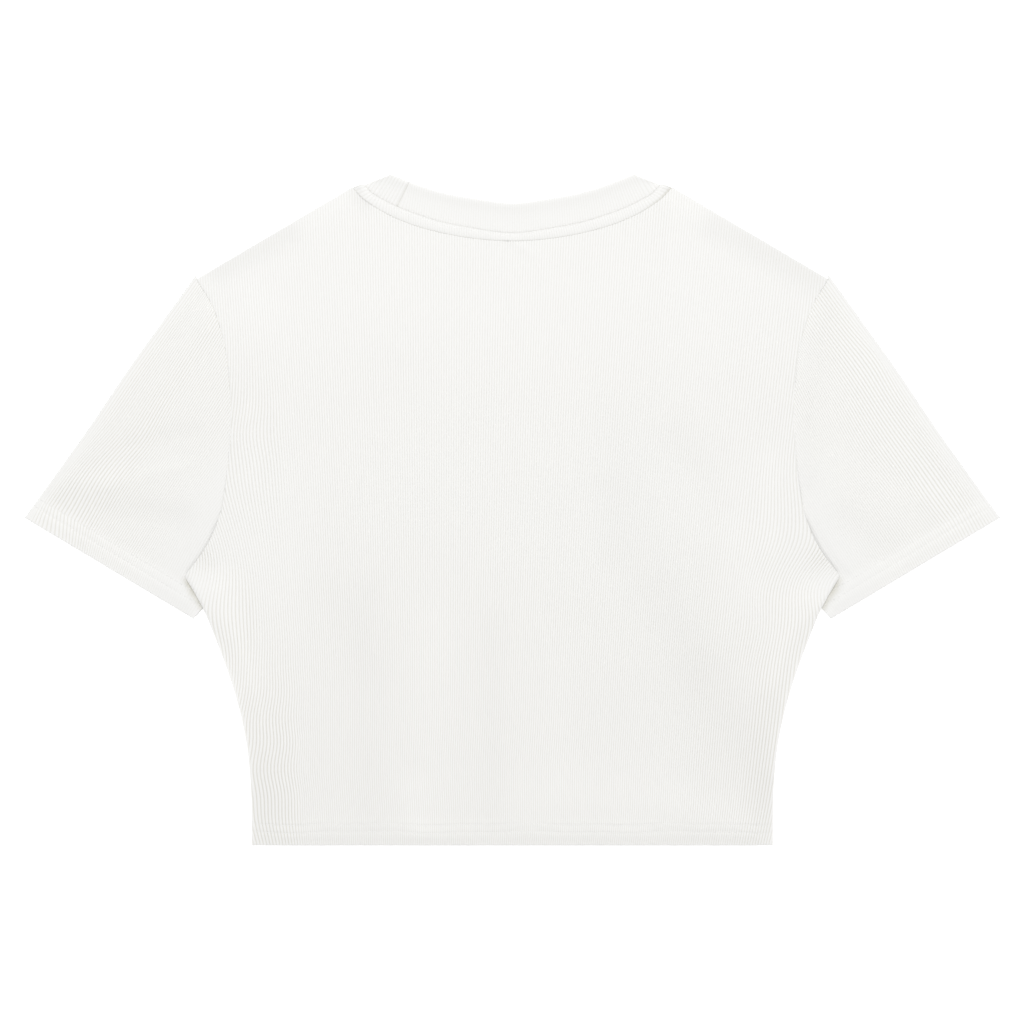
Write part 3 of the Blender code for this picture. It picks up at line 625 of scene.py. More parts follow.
def stitch_groove(distance, lines):
    """How much of the cloth's height the cover stitching pulls down, at a distance from the hem."""
    return sum(bell((distance - line) / 0.55) for line in lines)


# The rows of points where a hem is turned: their distances from its edge, and how far they lie
# below the outside.
TURNED = [12.0, 4.0, 0.8, 0.2, 0.0, 0.2, 0.8]
TURNED_DROP = [1.7, 1.7, 1.7, 1.4, 0.85, 0.3, 0.0]


def row_drops(count):
    """The drop of each of a piece's rows, of which the turned ones come first."""
    return np.array(TURNED_DROP + [0.0] * (count - len(TURNED)))[:, None]


def hem_rows(stitches, depth):
    """Distances from a hem's edge to the rows of points on its outside."""
    rows = list(np.arange(2.2, stitches[0] - 1.8, 1.4))
    for line in stitches:
        rows += [line - 1.1, line - 0.5, line, line + 0.5, line + 1.1]
    return sorted(rows + [depth + 1.0, depth + 3.0])


EDGE_STEPS = np.array([0.0, 0.25, 0.6, 1.1, 2.0, 4.0, 7.5])  # rows close to a seam

# One stitch of the thread: a short tube that dips into the cloth at both ends.
STITCH_ALONG = np.array([-0.5, -0.3, 0.3, 0.5])
STITCH_LIFT = np.array([-0.3, 0.0, 0.0, -0.3])
STITCH_RADIUS = np.array([0.08, 0.2, 0.2, 0.08])
STITCH_TURNS = np.linspace(0.0, 2 * np.pi, 6)
STITCH_LENGTH = 2.9
STITCH_PITCH = 3.4


def sew(shell, x, y, z, facing):
    """Stitches along a line of points on the cloth, one at each point."""
    along = np.gradient(np.stack([x, y]), axis=1)
    along /= np.hypot(*along)
    turn_out, turn_up = np.cos(STITCH_TURNS), np.sin(STITCH_TURNS)
    off = STITCH_RADIUS[:, None] * turn_out
    run = STITCH_LENGTH * STITCH_ALONG[:, None] + 0 * off
    px = x[:, None, None] + along[0][:, None, None] * run - along[1][:, None, None] * off
    py = y[:, None, None] + along[1][:, None, None] * run + along[0][:, None, None] * off
    rise = STITCH_RADIUS[:, None] * turn_up + STITCH_LIFT[:, None]
    numbers = shell.add(px, py, z[:, None, None] + facing * rise, 0.5, 0.0)
    numbers[..., -1] = numbers[..., 0]
    shell.skin(numbers, facing > 0, thread=True)


# ---------- front and back


def rib_lift(rib):
    """How far a rib's surface stands out at a place across it: 0 in the valley and 1 on the crest."""
    return np.interp(np.mod(rib, 1.0) * COLUMNS, (0.0, 1.0, 2.0, 3.0), (0.0, 1.0, 1.0, 0.0))


def body_looks(x, y, pitch):
    """How high the ribs stand, how strong the painted shade in their valleys is, and how light the cloth
    is, with painted light and shade at folds, edges and the shoulder.
    """
    wide = np.clip(pitch / EVEN_PITCH, *BODY_RANGE)
    for spot in SPOTS:
        wide = wide * (1 + spot.share * bell(np.hypot(np.abs(x) - spot.x, y - spot.y) / spot.reach))
    wide = wide * (1 - SIDE_FLATNESS * bell((y - SIDE_FLAT_Y) / SIDE_FLAT_REACH) * near_side(x))
    shallow = HIGH_DEPTH * blend((y - HIGH_Y) / HIGH_FADE)
    depth = wide * (1 + LOW_VALLEY_SHADE * blend((LOW_Y - y) / LOW_FADE) - shallow)
    tone = painted_fold_shade(folds(x, y, FOLDS)) - STRETCH_TONE * blend(pitch - STRETCH_PITCH)
    tone = tone + HEM_EDGE_PAINTED_LIGHT * (1 - blend((y - HEM_Y) / 2.5))
    tone = tone - SHOULDER_PAINTED_SHADE * bell(shoulder_distance(x, y) / SHOULDER_SHADE_WIDTH) * near_side(x)
    for distance in (y - HEM_Y, side_distance(x, y), shoulder_distance(x, y)):
        depth = depth * valley_shade_fade(distance)
        tone = tone + painted_edge_light(distance)
    return wide * (1 - shallow), depth, tone


def body_panel(shell, seam, place, levels, top_rows, up):
    """The grid of a body panel, cut off at its outline. place(x, y, lift, drop) gives its height."""
    rib = np.arange(-RIBS_LEFT * COLUMNS, RIBS_RIGHT * COLUMNS + 1) / COLUMNS
    top = np.full(len(rib), SHOULDER_POINT[1])
    for _ in range(40):
        top = 0.5 * (top + top_y(seam, rib_x(rib, top)))
    flat = HEM_Y + np.array(TURNED + levels)[:, None] + 0 * rib
    fan = np.linspace(0.0, 1.0, top_rows + 2)[:-1, None] * (top - EDGE_STEPS[-1] - SPLIT_Y)
    y = np.concatenate([flat, SPLIT_Y + fan, top - EDGE_STEPS[::-1, None]])
    x = rib_x(rib, y)
    ribs = rib + 0 * y
    joined = np.arange(x.size).reshape(x.shape)
    rows = np.arange(len(x))
    for side in (-1, 1):
        outside = x * side > outline_x(y)
        ends = np.argmax(outside[:, ::side], axis=1)
        ends = ends if side > 0 else len(rib) - 1 - ends
        limit = side * outline_x(y[rows, ends])
        before = x[rows, ends - side]
        share = (limit - before) / (x[rows, ends] - before)
        ribs[rows, ends] += (share - 1) * side / COLUMNS
        x[rows, ends] = limit
        joined = np.where(outside, joined[rows, ends][:, None], joined)
    pitch = COLUMNS * np.gradient(rib_x(rib + 0 * y, y), axis=1)
    wide, depth, tone = body_looks(x, y, pitch)
    z = place(x, y, rib_lift(ribs) * wide, row_drops(len(y)))
    numbers = shell.add(x, y, z, ribs, y / COURSE, tone, depth)
    numbers = numbers.ravel()[joined.ravel()].reshape(joined.shape)
    shell.skin(numbers, up)
    return numbers


def body_walls(shell, numbers, wall_z, up):
    """Walls round a panel's sides and top, from the cloth's edge to a level inside the shirt."""
    points, knit = np.concatenate(shell.points), np.concatenate(shell.knit)
    turned = len(TURNED)
    for line, facing in ((numbers[turned:, 0], up), (numbers[-1], up), (numbers[turned:, -1], not up)):
        line = line[np.append(True, np.diff(line) != 0)]
        x, y, z = points[line].T
        wall = shell.add(x, y, np.stack([z, wall_z(x, y)]), *knit[line].T)
        shell.skin(wall, facing)


def hem_waver(x):
    """How far the front's hem stitching strays up and down."""
    return 0.45 * np.sin(x / 17.0 + 1.0) + 0.3 * np.sin(x / 7.3)


def hem_lift(distance, depth):
    """How far a hem's second layer lifts the cloth."""
    return HEM_LIFT * (1 - blend((distance - depth + HEM_STEP_START) / HEM_STEP))


def hem_share(distance):
    """The share of the cloth's height that is left near a hem's edge."""
    return 1 - HEM_FALL * (1 - blend(distance / HEM_FALL_WIDTH))


def rib_rise(lift, groove, above, drop):
    """The ribs' own height: half in a line of stitches, less near a fold and none inside a hem."""
    return RIB_HEIGHT * lift * (1 - 0.5 * groove) * np.sqrt(above) * (drop < 0.5)


def over_fold(height, drop):
    return np.where(drop > 0, np.maximum(height - drop, FOLD_Z + LAYER_GAP), height)


def under_fold(height, drop):
    return np.where(drop > 0, np.minimum(height + drop, FOLD_Z - LAYER_GAP), height)


def front_place(x, y, lift, drop):
    """The height of the front's outside, with the ribs' share and the drop of each place."""
    closed = closed_share(y)
    side = side_distance(x, y)
    above = (1 - closed * (1 - side_height(side))) * edge_height(shoulder_distance(x, y))
    free_edge = (1 - closed) * (1 - quarter_round(side, FREE_ROLL))
    seams = 1 - quarter_round(armhole_distance(x, y), SEAM_ROLL)
    seams = seams + NECK_SEAM_SHARE * (1 - quarter_round(neck_distance(front_seam, x, y), SEAM_ROLL))
    groove = stitch_groove(y - HEM_Y - hem_waver(x), HEM_STITCHES)
    height = front_height(x, y) + hem_lift(y - HEM_Y, HEM_DEPTH)
    height = height - STITCH_DIP * groove - SEAM_DIP * seams - free_edge
    height = FOLD_Z + (height - FOLD_Z) * above * hem_share(y - HEM_Y)
    return over_fold(height + rib_rise(lift, groove, above, drop), drop)


def front_wall_z(x, y):
    """The lower edge of the front's wall, which clears the sleeve where that lies under it."""
    over_sleeve = blend((TUCK_START_Y + 4.0 - y) / 8.0) * (y > TIP_Y)
    return FOLD_Z + 0.2 + over_sleeve * (by_side(x, TUCKED_TOP) - FOLD_Z + 0.1)


def back_place(x, y, lift, drop):
    """The back's outside, which faces down: the ribs' crests rest on the surface."""
    above = 1 - closed_share(y) * (1 - edge_height(side_distance(x, y)))
    above = above * edge_height(shoulder_distance(x, y))
    height = (FOLD_Z - SEAM_GAP) * (1 - above) + RIB_HEIGHT * (1 - np.minimum(lift, 1.0)) * above
    return under_fold(height, drop)


def body_levels(plain, fine):
    """Distances above the hem's edge of the level rows, closer together beside the armpits."""
    start, end = HEM_DEPTH + 6.0, SPLIT_Y - HEM_Y
    tip = TIP_Y - HEM_Y
    stops = (start, tip - FINE_BELOW, tip, FINE_END_Y - HEM_Y, end)
    rows = []
    for low, high, gap in zip(stops, stops[1:], (plain, fine, fine, plain)):
        rows += [*np.linspace(low, high, round((high - low) / gap), endpoint=False)]
    return rows


def hem_line(line):
    """X of the stitches in a line of the hem."""
    reach = side_edge(HEM_Y + line) - 4.0
    return np.arange(-reach, reach, STITCH_PITCH)


def make_front(materials):
    shell = Shell()
    levels = hem_rows(HEM_STITCHES, HEM_DEPTH) + body_levels(plain=4.6, fine=2.3)
    numbers = body_panel(shell, front_seam, front_place, levels, top_rows=22, up=True)
    body_walls(shell, numbers, front_wall_z, up=True)
    for line in HEM_STITCHES:
        x = hem_line(line)
        y = HEM_Y + line + hem_waver(x)
        z = front_place(x, y, 0.75, np.zeros(1)) + 0.12
        sew(shell, x, y, z, 1)
    return shell.make("front_cloth", materials)


def make_back(materials):
    shell = Shell()
    levels = hem_rows(HEM_STITCHES, HEM_DEPTH)[::2] + body_levels(plain=9.0, fine=4.5)
    numbers = body_panel(shell, back_seam, back_place, levels, top_rows=12, up=False)
    body_walls(shell, numbers, lambda x, y: FOLD_Z - 0.3 + 0 * x, up=False)
    for line in HEM_STITCHES:
        x = hem_line(line)
        sew(shell, x, HEM_Y + line + 0 * x, 0.22 + 0 * x, -1)
    return shell.make("back_cloth", materials)


# ---------- sleeves


CUFF_WIDTH = math.dist(CUFF_OUTER, CUFF_INNER)


def across_cuff(rib, side):
    """The distance of a sleeve's rib from the outer fold along the cuff: wide ribs, then finer ones."""
    ribs = CUFF_RIBS[side]
    t = np.clip((rib - ribs.start) / ribs.taken, 0.0, None)
    eased = np.where(t < 1, t**3 - 0.5 * t**4, t - 0.5)
    return ribs.fine * rib + (ribs.wide - ribs.fine) * (rib - ribs.taken * eased)


SLEEVE_QS = np.linspace(0.0, 1.0, 401)
OUTER_FOLD = unit(np.subtract(SLEEVE_TOP_END, CUFF_OUTER))


def sleeve_direction(q, side):
    """The direction of the line that a rib follows up the sleeve from q of the cuff's width."""
    lean = math.radians(CUFF_RIBS[side].lean)
    first = math.atan2(-OUTER_FOLD[0], OUTER_FOLD[1])
    last = math.atan2(CUFF_INNER[0] - SLEEVE_HIDDEN_END[0], SLEEVE_HIDDEN_END[1] - CUFF_INNER[1])
    angle = lean + (first - lean) * (1 - blend(q / CUFF_RIBS[side].fold_share))
    angle = angle + (last - lean) * blend((q - LAST_TURN_Q) / (1 - LAST_TURN_Q))
    return -np.sin(angle), np.cos(angle)


def sleeve_place(q, reach, side):
    """X and Y at a reach from the cuff along the line at q of its width."""
    across, up = sleeve_direction(q, side)
    reach = reach - CUFF_DROP
    bulge = FOLD_BULGE * blend((reach - BULGE_START) / BULGE_WIDTH) * (1 - blend(q / BULGE_Q))
    x = CUFF_OUTER[0] + (CUFF_INNER[0] - CUFF_OUTER[0]) * q + across * reach + OUTER_FOLD[1] * bulge
    y = CUFF_OUTER[1] + (CUFF_INNER[1] - CUFF_OUTER[1]) * q + up * reach - OUTER_FOLD[0] * bulge
    return x, y


def sleeve_lengths(side):
    """The lengths of those lines, from the cuff to the armhole."""
    near, far = 0.0 * SLEEVE_QS, LONGEST_RIB + 0.0 * SLEEVE_QS
    for _ in range(40):
        middle = 0.5 * (near + far)
        x, y = sleeve_place(SLEEVE_QS, middle, side)
        outside = x > sleeve_end(y)
        near = np.where(outside, middle, near)
        far = np.where(outside, far, middle)
    return near


def sleeve_shift(q, reach, side):
    """How far inwards the ribs of the sleeve are shifted, as a share of its width."""
    pushed = 0.0
    for push in PUSHES[side]:
        within = bell((q * CUFF_WIDTH - push.across) / push.wide)
        pushed = pushed - push.size * within * bell((reach - push.reach) / push.tall)
    return pushed * blend(q / 0.07) * blend((1 - q) / 0.1) / CUFF_WIDTH


def cuff_twist(q, reach, side):
    """The cuff is sewn a little askew, so that its ribs turn straight down near the outer fold."""
    near_cuff = np.maximum(0.0, 1 - reach / CUFF_STITCHES[1])
    return CUFF_TWIST[side] / CUFF_WIDTH * near_cuff * blend(q / 0.22) * (1 - 0.8 * blend(q / 0.8))


def flat_inside(q):
    """1 where the ribs lie flat beside the armpit."""
    return blend((q - FLAT_Q) / FLAT_FADE)


def flat_outside(q):
    """1 where they lie flat at the outer fold."""
    return 1 - blend(q * CUFF_WIDTH / FOLD_SOFT)


def sleeve_softness(q):
    """How much of the ribs' height is left."""
    return (1 - 0.7 * flat_inside(q)) * (1 - 0.6 * flat_outside(q))


def sleeve_grid(rib, side):
    """Each point's share of the cuff's width, reach from the cuff, line length and layer."""
    flat = np.minimum(rib, 2 * SLEEVE_RIBS - rib)
    cuff_q = across_cuff(flat, side) / across_cuff(float(SLEEVE_RIBS), side)
    around = np.where(rib <= SLEEVE_RIBS, cuff_q, 2 - cuff_q)
    fixed = np.array(TURNED + hem_rows(CUFF_STITCHES, CUFF_DEPTH))[:, None] + 0 * rib
    even = np.linspace(0.0, 1.0, SLEEVE_ROWS + 2)[1:-1, None]
    all_lengths = sleeve_lengths(side)
    q = cuff_q + np.zeros((len(fixed) + len(even) + len(EDGE_STEPS), 1))
    for _ in range(6):
        lengths = np.interp(q, SLEEVE_QS, all_lengths)
        middle, last = lengths[len(fixed) : -len(EDGE_STEPS)], lengths[-len(EDGE_STEPS) :]
        spread = fixed[-1] + even * (middle - EDGE_STEPS[-1] - fixed[-1])
        reach = np.concatenate([fixed, spread, last - EDGE_STEPS[::-1, None]])
        place = around + cuff_twist(cuff_q, reach, side)
        upper = place < 1
        q = np.minimum(place, 2 - place)
        q = np.clip(q + sleeve_shift(q, reach, side) * np.where(upper, 1.0, 0.6), 0.0, 1.0)
    return q, reach, lengths, upper


def sleeve_looks(x, y, q, reach, pitch, side):
    """How high the ribs stand, how strong the painted shade in their valleys is, and how light the cloth
    is, with painted light and shade at folds, edges, the cuff and beside the front.
    """
    in_cuff = 1 - blend((reach - CUFF_STITCHES[1]) / 3.0)
    from_fold = np.minimum(q, 1 - q) * CUFF_WIDTH
    wide = np.clip(pitch / EVEN_PITCH, *SLEEVE_RANGE) * (1 - 0.25 * in_cuff) * sleeve_softness(q)
    depth = SLEEVE_VALLEY_SHADE[side] * wide * valley_shade_fade(from_fold) * valley_shade_fade(reach)
    creases = folds(x, y, FOLDS) + folds(x, y, SLEEVE_FOLDS) - under_armhole(x, y)
    tone = painted_fold_shade(creases, DEEP_PAINTED_SHADE) + CUFF_PAINTED_LIGHT * in_cuff + HEM_EDGE_PAINTED_LIGHT * (1 - blend(reach / 3.0))
    tone = tone - SIDE_SHADOW * side_shadow(x, y) + SLEEVE_TONE
    tone = tone - SMOOTH_PAINTED_SHADE * (flat_inside(q) + 0.5 * flat_outside(q))
    return wide, depth, tone + painted_edge_light(reach) + painted_edge_light(from_fold)


def make_sleeve(name, side, materials):
    shell = Shell()
    rib = np.arange(2 * SLEEVE_RIBS * COLUMNS + 1) / COLUMNS
    q, reach, lengths, upper = sleeve_grid(rib, side)
    x, y = sleeve_place(q, reach, side)
    across, up = sleeve_direction(q, side)
    pitch = COLUMNS * np.abs(np.gradient(x, axis=1) * up - np.gradient(y, axis=1) * across)
    x = side * x
    wide, depth, tone = sleeve_looks(x, y, q, reach, pitch, side)
    z = sleeve_z(x, y, q, reach, lengths, rib_lift(rib) * wide, row_drops(len(y)), upper)
    numbers = shell.add(x, y, z, rib, reach / COURSE, tone, depth)
    numbers[:, -1] = numbers[:, 0]
    shell.skin(numbers, side < 0)
    top_wall = np.maximum(z[-1] - SLEEVE_WALL, 0.5)
    low_wall = np.minimum(z[-1] + SLEEVE_WALL, FOLD_Z - 0.3)
    wall_z = np.where(rib <= SLEEVE_RIBS, top_wall, low_wall)
    wall = shell.add(x[-1], y[-1], np.stack([z[-1], wall_z]), rib, reach[-1] / COURSE)
    wall[:, -1] = wall[:, 0]
    shell.skin(wall, side < 0)
    q = np.arange(3.0, CUFF_WIDTH - 3.0, STITCH_PITCH) / CUFF_WIDTH
    lift = 0.7 * sleeve_softness(q)
    for line in CUFF_STITCHES:
        x, y = sleeve_place(q, line, side)
        for is_upper, rise, facing in ((True, 0.08, 1), (False, 0.05, -1)):
            z = sleeve_z(side * x, y, q, line, LONGEST_RIB, lift, np.zeros(1), is_upper)
            sew(shell, side * x, y, z + rise, facing)
    return shell.make(name, materials)


def sleeve_z(x, y, q, reach, lengths, lift, drop, upper):
    """The height of a sleeve's outside, on the layer that faces up or the one below."""
    near = edge_height(np.minimum(q, 1 - q) * CUFF_WIDTH)
    groove = stitch_groove(reach, CUFF_STITCHES)
    dip = SEAM_DIP * (1 - quarter_round(lengths - reach, SEAM_ROLL)) * (1 - tucked(x, y))
    high = sleeve_height(x, y) + hem_lift(reach, CUFF_DEPTH) - STITCH_DIP * groove - dip
    high = FOLD_Z + np.maximum(high - FOLD_Z, 0.3) * near * hem_share(reach)
    high = over_fold(high + rib_rise(lift, groove, near, drop), drop)
    low = TUCKED_LIFT * tucked(x, y) + RIB_HEIGHT * (1 - np.minimum(lift, 1.0))
    low = under_fold(FOLD_Z - (FOLD_Z - low) * near, drop)
    return np.where(upper, high, low)


# ---------- neckband


def band_lean(t, side):
    """The direction down the inside at t of the way from the middle of the neck to its corner."""
    fan = min(1.0, max(0.0, (t - JOIN_T) / FAN_T))
    beyond = max(0.0, (t - JOIN_T) / (1 - JOIN_T))
    left = BEFORE_JOIN * min(1.0, t / JOIN_T) + AT_JOIN * fan + PAST_JOIN * beyond
    angle = math.radians(CORNER_LEAN * t**CORNER_POWER if side > 0 else left)
    return np.array([math.sin(angle), -math.cos(angle)])


Station = namedtuple("Station", "crest seam lean turn")


def band_stations(side):
    """Half of the neckband, from the back's middle round the corner to the front's middle."""
    outward = unit(CORNER_OUT)
    corner = np.array(BAND_CORNER) - CORNER_INSET * outward
    corner_seam = np.array(NECK_SIDE) - CORNER_INSET * outward
    peak = np.array(BAND_PEAK)
    stations = []
    count = RIBS_BACK * BAND_COLUMNS
    for step in range(count):
        t = step / count
        if side < 0:
            steps = (0, JOIN_STEP, JOIN_STEP + FAN_STEPS, count)
            t = float(np.interp(step, steps, (0, JOIN_T / PEAK_T, (JOIN_T + FAN_T) / PEAK_T, 1)))
        crest = np.array([BAND_PEAK[0] * t, float(back_crest(BAND_PEAK[0] * t))])
        lean = band_lean(PEAK_T * t, side)
        stations.append(Station(crest, crest + BAND_OUTSIDE * lean, lean, -90.0))
    count = RIBS_PEAK * BAND_COLUMNS
    for step in range(count):
        t = step / count
        crest = peak + (corner - peak) * t
        lean = band_lean(PEAK_T + (1 - PEAK_T) * t, side)
        start = crest + BAND_OUTSIDE * lean
        seam = start + (corner_seam - (corner + BAND_OUTSIDE * lean)) * t**2
        stations.append(Station(crest, seam, lean, -90.0))
    count = RIBS_TURN * BAND_COLUMNS
    lean = band_lean(1.0, side)
    for step in range(count + 1):
        stations.append(Station(corner, corner_seam, lean, -90.0 + 180.0 * step / count))
    count = RIBS_FRONT * BAND_COLUMNS
    for step in range(1, count + 1):
        t = 1.0 - step / count
        near_corner = max(0.0, (t - 0.9) / 0.1)
        across = BAND_CORNER[0] * t
        crest = np.array([across, float(front_crest(across))])
        across += BAND_SLANT[side] * min(1.0, 2.0 * t)
        across += (NECK_SIDE[0] - BAND_CORNER[0] - BAND_SLANT[side]) * float(blend((t - 0.8) / 0.2))
        seam = np.array([across, float(front_seam(across))])
        crest = crest - CORNER_INSET * near_corner * outward
        seam = seam - CORNER_INSET * near_corner * outward
        stations.append(Station(crest, seam, band_lean(t, side), 90.0))
    return stations


BAND_HALVES = {side: band_stations(side) for side in (-1, 1)}
BACK_SEAM = [s.seam for s in BAND_HALVES[1] if s.turn == -90.0][::BAND_COLUMNS] + [NECK_SIDE]


def back_seam(x):
    across, up = zip(*BACK_SEAM)
    return np.interp(x, across, up)


# The neckband's section from the seam, over the edge and down inside. Reach is the distance from the
# edge, or the share of the way to the front's edge where inner is above 1; front and back are how far the
# layer lies from the plane between the two, and inner is above 0 inside the neck. The last column is
# painted light and shade: lighter on the edge, darker beside the seam and down inside the neck.
BAND_SECTION = table(
    Layer,  # reach, front, back, inner, tone
    (BAND_OUTSIDE, 2.1, 1.3, 0, 0.9),
    (6.4, 2.2, 1.7, 0, 0.91),
    (6, 2.3, 2, 0, 0.94),
    (5.4, 2.4, 2.2, 0, 0.965),
    (4.6, 2.5, 2.35, 0, 0.98),
    (3.7, 2.6, 2.35, 0, 0.985),
    (2.8, 2.6, 2.35, 0, 0.99),
    (1.9, 2.5, 2.3, 0, 0.99),
    (1.1, 2.25, 2, 0, 0.99),
    (0.5, 1.85, 1.6, 0, 0.99),
    (0.1, 1.4, 1, 0, 1),
    (0, 1, 0.3, 1, 1.05),
    (0.2, 0.7, -0.1, 1, 1.04),
    (0.8, 0.55, -0.35, 1, 1),
    (1.8, 0.5, -0.45, 1, 0.97),
    (0.18, 0.4, -0.35, 2, 0.955),
    (0.3, 0.35, -0.15, 2, 0.96),
    (0.42, 0.35, 0, 2, 0.97),
    (0.6, 0.35, 0, 2, 0.975),
    (0.8, 0.35, 0, 2, 0.975),
    (-1.5, 0.35, 0, 3, 0.97),
    (-0.8, 0.35, 0, 3, 0.97),
    (-0.2, 0.35, 0.1, 3, 0.95),
    (0.6, 0.35, 0.2, 3, 0.93),
    (BAND_INSIDE, 0.35, 0.2, 1, 0.93),
)


def shown_width(crest, lean, turn):
    """How much of the inside shows above the front's edge, from the band's edge along a rib."""
    if turn > -90.0:
        return LEAST_SHOWN
    near, far = 0.0, BAND_INSIDE
    for _ in range(20):
        middle = 0.5 * (near + far)
        x, y = crest + lean * middle
        shown = y > front_crest(min(x, BAND_CORNER[0]))
        near, far = (middle, far) if shown else (near, middle)
    return max(near, LEAST_SHOWN)


def make_neckband(materials):
    shell = Shell()
    right, left = BAND_HALVES[1], BAND_HALVES[-1]
    ring = [(*s, 1, i) for i, s in enumerate(right)] + [(*s, -1, i) for i, s in enumerate(left)][-2:0:-1]
    crest, seam, lean, turn, sign, order = (np.array(column) for column in zip(*ring))
    shown = np.array([shown_width(*place) for place in zip(crest, lean, turn)])
    lift = np.array(BAND_RIB)[order % BAND_COLUMNS]
    turn = np.radians(turn)
    front = 0.5 + 0.5 * np.sin(turn)
    join_order = JOIN_STEP + FAN_STEPS
    join = bell((order - join_order) / 0.8) * (sign < 0)
    rib_share = np.where((order > join_order) & (sign < 0), 1.1, 0.38)
    full = np.clip((shown - LEAST_SHOWN) / 8.0, 0.0, 1.0)
    lower = NECK_TOP - front_place(seam[:, 0], seam[:, 1] - SEAM_ROLL, 0.5, np.zeros(1))
    seam_end_shade = SEAM_END_PAINTED_SHADE * blend((seam[:, 0] - SEAM_END_SHADE_X) / SEAM_END_SHADE_FADE) * (sign > 0)
    rows = []
    for layer in BAND_SECTION:
        height = layer.front * front + layer.back * (1 - front)
        if layer.inner == 0:
            flat = crest + (seam - crest) * layer.reach / BAND_OUTSIDE
            height = height - lower * float(blend((layer.reach - 2.0) / 4.5)) * front
            height = height + BAND_RIB_HEIGHT * lift * min(1.0, layer.reach / 1.9)
            flat = flat + unit(CORNER_OUT) * (CORNER_FLAT * height * np.cos(turn))[:, None]
            z = np.maximum(FOLD_Z + height * np.sin(turn), 0.0)
            reach = layer.reach + 0 * shown
            # The outside's painted light and shade, with more painted shade beside the seam near the
            # right corner.
            tone = layer.tone - seam_end_shade * float(blend((layer.reach - 4.8) / 0.8)) * front
        else:
            reaches = {1: layer.reach + 0 * shown, 2: layer.reach * shown, 3: layer.reach + shown}
            reach = reaches[layer.inner]
            reach = np.maximum(reach, before + 0.15) if layer.inner > 1 else reach
            before = reach
            flat = crest + lean * reach[:, None]
            ribbed = 1.0 if layer.inner > 1 else min(1.0, 0.5 * layer.reach)
            ribs = BAND_RIB_HEIGHT * lift * ribbed * rib_share * (1 - 2 * front)
            # The inside's painted light and shade, fainter where little of it shows, and a darker line at
            # the join.
            tone = 1 + (layer.tone - 1) * (full if layer.inner < 3 else 1.0) - 0.12 * join
            sunk = layer.back * (full if layer.back < 0 else 1.0)
            z = FOLD_Z + layer.front * front - sunk * (1 - front) + ribs - 0.4 * join
        rows.append((flat[:, 0] * sign, flat[:, 1], z, reach * (1 if layer.inner else -1), tone))
    x, y, z, reach, tone = (np.array(part) for part in zip(*rows))
    numbers = shell.add(x, y, z, sign * order / BAND_COLUMNS, reach / COURSE, tone)
    shell.skin(np.concatenate([numbers, numbers[:, :1]], axis=1), True)
    return shell.make("neckband_cloth", materials)


# ---------- finish


def set_inputs(node, **values):
    """Constant values on a node's own sockets, where _ in a name stands for a space."""
    for name, value in values.items():
        node.inputs[name.replace("_", " ")].default_value = value


def new_material(name):
    material = bpy.data.materials.new(name)
    material.use_nodes = True
    return material, material.node_tree.nodes["Principled BSDF"]


